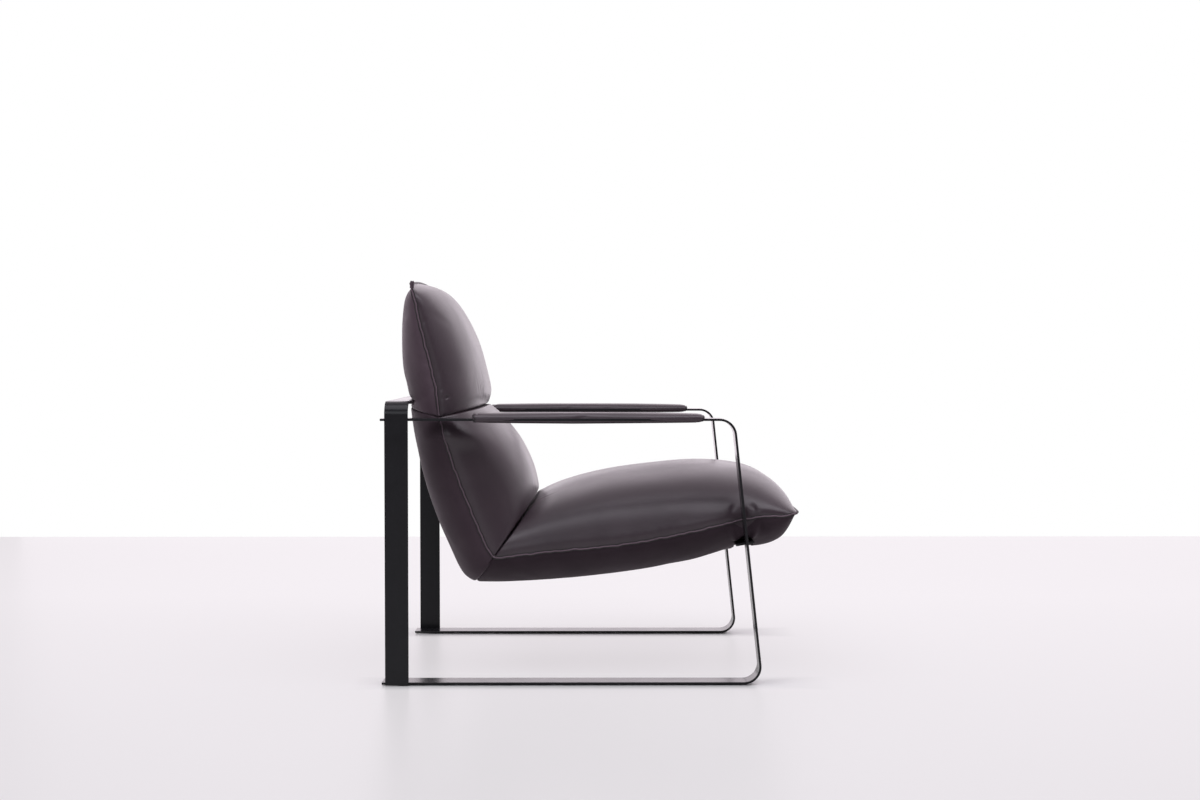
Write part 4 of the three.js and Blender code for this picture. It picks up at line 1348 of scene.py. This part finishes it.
    def finish_back(self, form, places, normals):
        """Swollen sides under the arms."""
        return press_arms(places)

    def finish_seat(self, form, places, normals):
        """Folds and dents at the legs, room for the front crossbar and ears at the tip."""
        places = self.fold_sides(places, normals, *self.LEG_FOLDS)
        places = press_legs(press_front_bar(places))
        return self.pull_ears(places, form.grid[-1, [0, form.columns]], self.SEAT_EARS)

    def leave_seams(self, node, form, piece):
        """Leaves the lines of the side seams and edge seams, laid on the finished leather, for the sewing."""
        tree = BVHTree.FromObject(piece, bpy.context.evaluated_depsgraph_get())
        lines = dict(zip(("seam_left", "seam_right"), form.side_lines()))
        for row, is_closed in zip((0, -1), form.closed):
            if is_closed:
                lines["edge"] = form.grid[row, :form.columns + 1]
        for name, line in lines.items():
            hits = [tree.find_nearest(Vector(place)) for place in line]
            sewing[node, name] = (np.array([hit[0] for hit in hits]), np.array([hit[1] for hit in hits]))


class LOUNGE_OT_arm_pads(bpy.types.Operator):
    """Leather pads round the arm bars"""

    bl_idname = "lounge_chair.arm_pads"
    bl_label = "Arm pads"

    ROW_STEP = 6 * MM
    COLUMNS = 18
    UNDER = COLUMNS + COLUMNS // 2
    CAP_STEPS = 4
    CLOTH_CAP = 6 * MM
    SHRINK = 1.5 * MM
    GATHER_COLUMNS = 3.0
    # Distance of the hems from the pad's ends, and rows there without the underside's seam
    HEM = 6 * MM
    BARE_ROWS = 4

    def execute(self, context):
        settings = context.scene.lounge_leather
        length = (PAD_PROFILE["seam"][-1][0] - PAD_PROFILE["seam"][0][0]) * MM
        shares = row_shares(length, self.ROW_STEP, True, True)
        for name, side in (("left", 1), ("right", -1)):
            form = CushionForm(PAD_PROFILE, PAD_HALF_WIDTH, shares, self.COLUMNS, PAD_FULLNESS, ROUNDNESS,
                               (False, False), np.zeros(2))
            form.grid = form.grid + np.array([side * LOOP_MIDDLE, 0, 0])
            self.fill(form, settings, name)
            vertices, faces, _ = form.mesh_data(form.grid, self.CAP_STEPS)
            piece = mesh_object(f"arm_pad_leather_{name}", vertices, faces)
            subdivide(piece)
            give_material(piece, face_leather(settings))
            self.leave_seams(name, form, shares * length)
            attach(piece, BODY)
            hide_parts(f"arm_pad_sleeve_{name}", f"arm_pad_foam_{name}")
        return {"FINISHED"}

    def fill(self, form, settings, name):
        """Swells the pad with the cloth simulation, held at its ends and along the underside."""
        held = np.zeros(form.grid.shape[:2], bool)
        held[[0, -1]] = True
        held[:, self.UNDER] = True
        reach = np.abs(np.arange(2 * form.columns) - self.UNDER)
        gather = np.repeat(np.exp(-reach / self.GATHER_COLUMNS)[None], len(form.grid), axis=0)
        form.grid = swell(form, held, settings, self.CLOTH_CAP, self.SHRINK, gather, "arm_pad_" + name)

    def leave_seams(self, name, form, travelled):
        """Leaves the lines of the underside's seam and of the hems at both ends for the sewing."""
        normals = form.normals()
        inner = slice(self.BARE_ROWS, -self.BARE_ROWS)
        sewing["arm_pad_" + name, "under"] = (form.grid[inner, self.UNDER], normals[inner, self.UNDER])
        for end, place in (("rear_hem", self.HEM), ("front_hem", travelled[-1] - self.HEM)):
            row = int(np.searchsorted(travelled, place))
            ring = np.vstack([form.grid[row], form.grid[row, :1]])
            sewing["arm_pad_" + name, end] = (ring, np.vstack([normals[row], normals[row, :1]]))


class LOUNGE_OT_seams(bpy.types.Operator):
    """Felled side seams, edge lips and their stitches"""

    bl_idname = "lounge_chair.seams"
    bl_label = "Seams"

    # Leathers of the sewn parts: tone next to the cushions' faces, and roughness; their lighter and darker
    # tones are painted light and shade
    LEATHERS = {
        # The seam strips' dark tone is painted shade of the grooves beside the beads; the arm pads' hems take
        # it too
        "folded_leather": (0.26, 0.55),
        # The beads' light tone is painted highlight on their tight roll
        "seam_bead_leather": (3.0, 0.36),
        # The lips' dark tone is painted shade
        "lip_leather": (0.4, 0.5),
        # The tabs' lighter tone is painted light
        "tab_leather": (1.5, 0.45),
    }
    EDGE_STEPS = 4
    # Edge rounding: shares of the seams' height, and of the beads' width and other strips' thickness
    SEAM_ROUND = 0.85
    STRIP_ROUND = 0.45
    # Side seams: taper at their ends, and waves by length and height in millimetres
    SEAM_TAPER = 20 * MM
    SEAM_TAPER_SHARE = 0.2
    SEAM_WAVES = ((61, 0.5), (37, 0.45), (21, 0.3))
    WAVE_SEED = 5
    PATH_STEP = 3.5 * MM
    # How often places, directions and laid paths are smoothed, and rows left out where cushions meet
    PLACES_SETTLED = 3
    NORMALS_SETTLED = 8
    PATH_SETTLED = 2
    MEETING_ROWS = 2
    # How far the side seams pass the ends of the head and of the seat
    HEAD_EAR = 3 * MM
    TIP_EAR = 1 * MM
    # Lips along the head's top edge and the seat's front edge, by their outward directions
    LIPS = {"head_cushion": (0, 0.12, 0.99), "seat_cushion": (0, -0.97, 0.24)}
    LIP_HEIGHT = 7 * MM
    LIP_THICKNESS = 3.4 * MM
    LIP_OUT = 0.8 * MM
    LIP_TAPER = 14 * MM
    LIP_TAPER_SHARE = 0.5
    LIP_STITCH_OUT = 0.6 * MM
    STITCH_MARGIN = 1.5 * MM
    STITCH_SEGMENTS = 8
    STITCH_RINGS = 5
    # Hems of the arm pads
    HEM_WIDTH = 2.4 * MM
    HEM_HEIGHT = 1.2 * MM
    HEM_ROUND = 0.5 * MM
    HEM_STITCH_OUT = 0.2 * MM
    # Corner tabs in millimetres: node, outward direction, shift forward, then length, width and thickness
    # of each of their two layers
    TABS = (
        ("head_cushion", (0, -0.05, 1.0), 2.6, 8.5, 5.0, 5.0),
        ("seat_cushion", (0, -0.95, 0.3), -1.0, 2.0, 3.0, 3.0),
    )
    TAB_ROOT = 8 * MM
    TAB_INSET = 1.6 * MM
    TAB_STEPS = 14
    # A tab is rounded within this share of its width, down to a small flat, and its layers lie apart
    TAB_ROUND = 0.6
    TAB_FLAT = 0.02
    LAYER_SHIFT = 0.4

    def strip_tree(self):
        """Node tree: a flat rounded strip along a path, set across by an attribute of the path."""
        tree, start = shape_group("Sewn strip", "Path", "Leather", {
            "Strip Width": 8 * MM, "Strip Height": 3 * MM, "Edge Round": MM})
        path = node_out(tree, "GeometryNodeMeshToCurve", {"Mesh": start["Path"]})
        across, taper = (
            node_out(tree, "GeometryNodeInputNamedAttribute", {"Name": name}, "Attribute", data_type=kind)
            for name, kind in (("across", "FLOAT_VECTOR"), ("taper", "FLOAT")))
        section = rounded_section(
            tree, start["Strip Width"], start["Strip Height"], start["Edge Round"], self.EDGE_STEPS)
        strip = sweep(tree, laid_across(tree, path, across), section, taper)
        return close_shape(tree, strip, start["Leather"])

    def stitch_tree(self):
        """Node tree: stitches at an even pitch along a path."""
        tree, start = shape_group("Stitches", "Path", "Thread", {
            "Pitch": 5 * MM, "Length": 4 * MM, "Width": MM})
        path = node_out(tree, "GeometryNodeMeshToCurve", {"Mesh": start["Path"]})
        even = {"Curve": path, "Length": start["Pitch"]}
        places = node_out(tree, "GeometryNodeResampleCurve", even, mode="LENGTH")
        ball = node_out(tree, "GeometryNodeMeshUVSphere", {
            "Segments": self.STITCH_SEGMENTS, "Rings": self.STITCH_RINGS, "Radius": 0.5})
        shape = node_out(tree, "GeometryNodeSetShadeSmooth", {"Geometry": ball})
        tangent = node_out(tree, "GeometryNodeInputTangent")
        turn = node_out(tree, "FunctionNodeAlignRotationToVector", {"Vector": tangent}, axis="X")
        size = node_out(tree, "ShaderNodeCombineXYZ", {
            "X": start["Length"], "Y": start["Width"], "Z": start["Width"]})
        copies = node_out(tree, "GeometryNodeInstanceOnPoints", {
            "Points": places, "Instance": shape, "Rotation": turn, "Scale": size})
        return close_shape(tree, copies, start["Thread"])

    def execute(self, context):
        settings = context.scene.lounge_leather
        # Lighter and darker copies of the face leather, which paint light and shade on the sewn parts
        shaded_seam_leather, highlit_bead_leather, lip_leather, tab_leather = (
            leather_material(name, settings, *look) for name, look in self.LEATHERS.items())
        stitch_lines = []
        base_lines, bead_lines = self.side_lines(settings, stitch_lines)
        edge_lines = self.lip_lines(settings, stitch_lines)
        hem_lines = self.hem_lines(stitch_lines)
        tree = self.strip_tree()
        height, width = settings.seam_height, settings.bead_width
        # The seam strips are in the darker leather, painted shade
        base = self.strip(settings.seam_width, 2 * height, self.SEAM_ROUND * height, shaded_seam_leather)
        # The beads are in the lighter leather, painted highlight
        bead = self.strip(width, 2 * settings.bead_height, self.STRIP_ROUND * width, highlit_bead_leather)
        thickness = self.LIP_THICKNESS
        # The lips are in the darker leather, painted shade
        lip = self.strip(self.LIP_HEIGHT, thickness, self.STRIP_ROUND * thickness, lip_leather)
        # The hems take the seam strips' darker leather, painted shade
        hem = self.strip(self.HEM_WIDTH, self.HEM_HEIGHT, self.HEM_ROUND, shaded_seam_leather)
        stitch = {
            "Pitch": settings.stitch_pitch, "Length": settings.stitch_length, "Width": settings.stitch_width,
            "Thread": material_once("sewing_thread", thread_material, settings),
        }
        self.lay("side_seams", base_lines, tree, base)
        self.lay("seam_beads", bead_lines, tree, bead)
        self.lay("edge_lips", edge_lines, tree, lip)
        self.lay("arm_pad_hems", hem_lines, tree, hem)
        self.lay("seam_stitches", stitch_lines, self.stitch_tree(), stitch)
        for node, outward, *sizes in self.TABS:
            forward, length, width, thickness = (size * MM for size in sizes)
            # The tabs are in the lighter leather, painted light
            tab = self.strip(width, thickness, self.STRIP_ROUND * thickness, tab_leather)
            lines = self.tab_lines(node, np.array(outward), forward, length, width)
            self.lay(node.replace("cushion", "corner_tabs"), lines, tree, tab)
        return {"FINISHED"}

    def strip(self, width, height, rounding, material):
        """Sizes and leather of a sewn strip."""
        return {"Strip Width": width, "Strip Height": height, "Edge Round": rounding, "Leather": material}

    def side_lines(self, settings, stitch_lines):
        """Lines of the felled side seams and of the beads on them, with a row of stitches at each side."""
        base_lines, bead_lines = [], []
        for places, normals in self.side_paths():
            across = across_of(places, normals)
            raised = places + normals * settings.seam_height
            taper = end_taper(len(places), self.PATH_STEP, self.SEAM_TAPER, self.SEAM_TAPER_SHARE)
            base_lines.append((places, across, taper))
            bead_lines.append((raised, across))
            for side in SIDES:
                offset = side * (settings.seam_width / 2 - self.STITCH_MARGIN)
                stitch_lines.append((raised + across * offset, across))
        return base_lines, bead_lines

    def side_paths(self):
        """The lines of the side seams: down the head's sides, and along the back and the seat in one."""
        chance = np.random.default_rng(self.WAVE_SEED)
        cut = self.MEETING_ROWS
        for name, side in (("seam_left", 1), ("seam_right", -1)):
            head, back, seat = (sewing[part + "_cushion", name] for part in ("head", "back", "seat"))
            sling = [np.vstack([upper[:-cut], lower[cut:]]) for upper, lower in zip(back, seat)]
            for places, normals, first, last in ((*head, self.HEAD_EAR, 0), (*sling, 0, self.TIP_EAR)):
                places = stretched(settled(places, self.PLACES_SETTLED), first, last)
                outward = settled(normals, self.NORMALS_SETTLED) + np.array([side, 0, 0])
                travelled = travelled_along(places)
                wanted = np.linspace(0, travelled[-1], round(travelled[-1] / self.PATH_STEP))
                outward = unit(values_at(outward, travelled, wanted))
                places = settled(values_at(places, travelled, wanted), self.PATH_SETTLED)
                waves = sum(height * np.sin(2 * math.pi * (wanted / (length * MM) + chance.uniform()))
                            for length, height in self.SEAM_WAVES)
                yield places + across_of(places, outward) * (waves * MM)[:, None], outward

    def lip_lines(self, settings, stitch_lines):
        """Lines of the edge lips, with a row of stitches on each face of a lip."""
        lines = []
        for node, outward in self.LIPS.items():
            places = settled(sewing[node, "edge"][0], self.PATH_SETTLED)
            across = np.repeat(np.array(outward)[None], len(places), axis=0)
            places = places + across * self.LIP_OUT
            lines.append((places, across, end_taper(
                len(places), settings.row_step, self.LIP_TAPER, self.LIP_TAPER_SHARE)))
            thick = unit(np.cross(np.gradient(places, axis=0), across))
            for side in SIDES:
                stitched = places + across * self.LIP_STITCH_OUT + thick * side * self.LIP_THICKNESS / 2
                stitch_lines.append((stitched[2:-2], across[2:-2]))
        return lines

    def hem_lines(self, stitch_lines):
        """Lines of the seam and the hems of the arm pads, with a row of stitches beside each."""
        lines = []
        for pad in ("arm_pad_left", "arm_pad_right"):
            for line in ("under", "rear_hem", "front_hem"):
                places, normals = sewing[pad, line]
                across = across_of(places, normals)
                lines.append((places, across))
                stitched = places + across * self.HEM_WIDTH + normals * self.HEM_STITCH_OUT
                stitch_lines.append((stitched, across))
        return lines

    def tab_lines(self, node, outward, forward, length, width):
        """The two layers of leather that stand out at each end of an edge seam."""
        outward = unit(outward)
        sideways = np.cross(outward, (1, 0, 0))
        steps = np.linspace(-self.TAB_ROOT, length, self.TAB_STEPS)
        rounding = self.TAB_ROUND * width
        end = np.clip((steps - length + rounding) / rounding, 0, 1)
        taper = np.sqrt(np.clip(1 + self.TAB_FLAT - end ** 2, 0, 1))
        lines = []
        for name in ("seam_left", "seam_right"):
            line = sewing[node, name][0]
            corner = line[0] if node == "head_cushion" else line[-1]
            inward = np.array([-math.copysign(self.TAB_INSET, corner[0]), -forward, 0])
            for side in SIDES:
                middle = corner + inward + sideways * side * self.LAYER_SHIFT * width
                places = middle + steps[:, None] * outward
                lines.append((places, np.repeat(sideways[None], len(steps), axis=0), taper))
        return lines

    def lay(self, name, lines, tree, values):
        """One piece made by a node tree from several paths."""
        piece = path_object(name, lines)
        run_nodes(piece, tree, values)
        piece.data.shade_smooth()
        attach(piece, BODY)


def path_object(name, lines):
    """A wire mesh of several paths, with the direction across them and their taper as attributes."""
    lines = [line if len(line) == 3 else (*line, np.ones(len(line[0]))) for line in lines]
    edges = []
    first = 0
    for places, _, _ in lines:
        edges += [(first + step, first + step + 1) for step in range(len(places) - 1)]
        first += len(places)
    made = mesh_object(name, np.vstack([places for places, _, _ in lines]), edges=edges)
    across = made.data.attributes.new("across", "FLOAT_VECTOR", "POINT")
    across.data.foreach_set("vector", np.vstack([direction for _, direction, _ in lines]).ravel())
    taper = made.data.attributes.new("taper", "FLOAT", "POINT")
    taper.data.foreach_set("value", np.concatenate([share for _, _, share in lines]))
    return made


class LOUNGE_OT_glides(bpy.types.Operator):
    """Rubber glides under the runners"""

    bl_idname = "lounge_chair.glides"
    bl_label = "Glides"

    CORNER = 6 * MM
    CORNER_STEPS = 5
    SHARP_ANGLE = math.radians(40)

    def glide_tree(self):
        """Node tree: a pad with rounded corners on every point."""
        tree, start = shape_group("Glide pads", "Points", "Rubber", {
            "Pad Width": 40 * MM, "Pad Length": 30 * MM, "Corner": self.CORNER, "Thickness": 2 * MM})
        points = node_out(tree, "GeometryNodeMeshToPoints", {"Mesh": start["Points"]})
        outline = rounded_section(
            tree, start["Pad Width"], start["Pad Length"], start["Corner"], self.CORNER_STEPS)
        top = node_out(tree, "ShaderNodeCombineXYZ", {"Z": start["Thickness"]})
        rise = node_out(tree, "GeometryNodeCurvePrimitiveLine", {"End": top})
        pad = sweep(tree, rise, outline)
        copies = node_out(tree, "GeometryNodeInstanceOnPoints", {"Points": points, "Instance": pad})
        return close_shape(tree, copies, start["Rubber"])

    def execute(self, context):
        names = [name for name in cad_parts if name.startswith("glide_")]
        boxes = [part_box(name) for name in names]
        middles = [((low.x + high.x) / 2, (low.y + high.y) / 2, low.z) for low, high in boxes]
        piece = mesh_object("glide_pads", middles)
        size = boxes[0][1] - boxes[0][0]
        values = {
            "Pad Width": size.x, "Pad Length": size.y, "Thickness": size.z, "Corner": self.CORNER,
            "Rubber": bpy.data.materials["glide_rubber"],
        }
        run_nodes(piece, self.glide_tree(), values)
        round_rims(piece)
        piece.data.set_sharp_from_angle(angle=self.SHARP_ANGLE)
        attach(piece, BODY)
        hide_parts(*names)
        return {"FINISHED"}


class LOUNGE_OT_packed_solids(bpy.types.Operator):
    """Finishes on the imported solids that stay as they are"""

    bl_idname = "lounge_chair.packed_solids"
    bl_label = "Packed solids"

    def execute(self, context):
        settings = context.scene.lounge_frame
        coat = powder_coat(settings)
        zinc = material_once("zinc_plate", speckled_material, *ZINC_COLOURS)
        rubber = material_once("glide_rubber", speckled_material, settings.glide_colour, RUBBER_LIGHT)
        inner = material_once("inner_steel", speckled_material, *INNER_COLOURS)
        belts = material_once("woven_webbing", webbing_material)
        starts = {
            "glide": rubber, "hanger_tab": coat, "front_crossbar": coat, "rear_screw": zinc,
            "front_screw": zinc, "front_spacer": zinc, "inner_rail": inner, "head_belt": belts,
            "back_belt": belts, "seat_belt": belts,
        }
        for name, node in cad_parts.items():
            for start, material in starts.items():
                if name.startswith(start):
                    give_material(node, material)
            if name.endswith("cross_rod"):
                give_material(node, inner)
        return {"FINISHED"}


class LOUNGE_PT_panel(bpy.types.Panel):
    """Lists the steps that dress the chair"""

    bl_idname = "LOUNGE_PT_panel"
    bl_label = "Lounge chair"
    bl_space_type = "VIEW_3D"
    bl_region_type = "UI"
    bl_category = "Lounge chair"

    def draw(self, context):
        for step in STEPS:
            self.layout.operator(step.bl_idname)


STEPS = (
    LOUNGE_OT_stage,
    LOUNGE_OT_packed_solids,
    LOUNGE_OT_bent_bars,
    LOUNGE_OT_glides,
    LOUNGE_OT_cushions,
    LOUNGE_OT_arm_pads,
    LOUNGE_OT_seams,
)
SETTINGS = {
    "lounge_frame": LoungeFrameSettings,
    "lounge_leather": LoungeLeatherSettings,
    "lounge_stage": LoungeStageSettings,
}


def register():
    for made in (*SETTINGS.values(), *STEPS, LOUNGE_PT_panel):
        bpy.utils.register_class(made)
    for name, made in SETTINGS.items():
        setattr(bpy.types.Scene, name, bpy.props.PointerProperty(type=made))


def unregister():
    for name in SETTINGS:
        delattr(bpy.types.Scene, name)
    for made in reversed((*SETTINGS.values(), *STEPS, LOUNGE_PT_panel)):
        bpy.utils.unregister_class(made)


def main():
    register()
    bpy.ops.lounge_chair.stage()
    bpy.ops.lounge_chair.packed_solids()
    bpy.ops.lounge_chair.bent_bars()
    bpy.ops.lounge_chair.glides()
    bpy.ops.lounge_chair.cushions()
    bpy.ops.lounge_chair.arm_pads()
    bpy.ops.lounge_chair.seams()


if __name__ == "__main__":
    main()
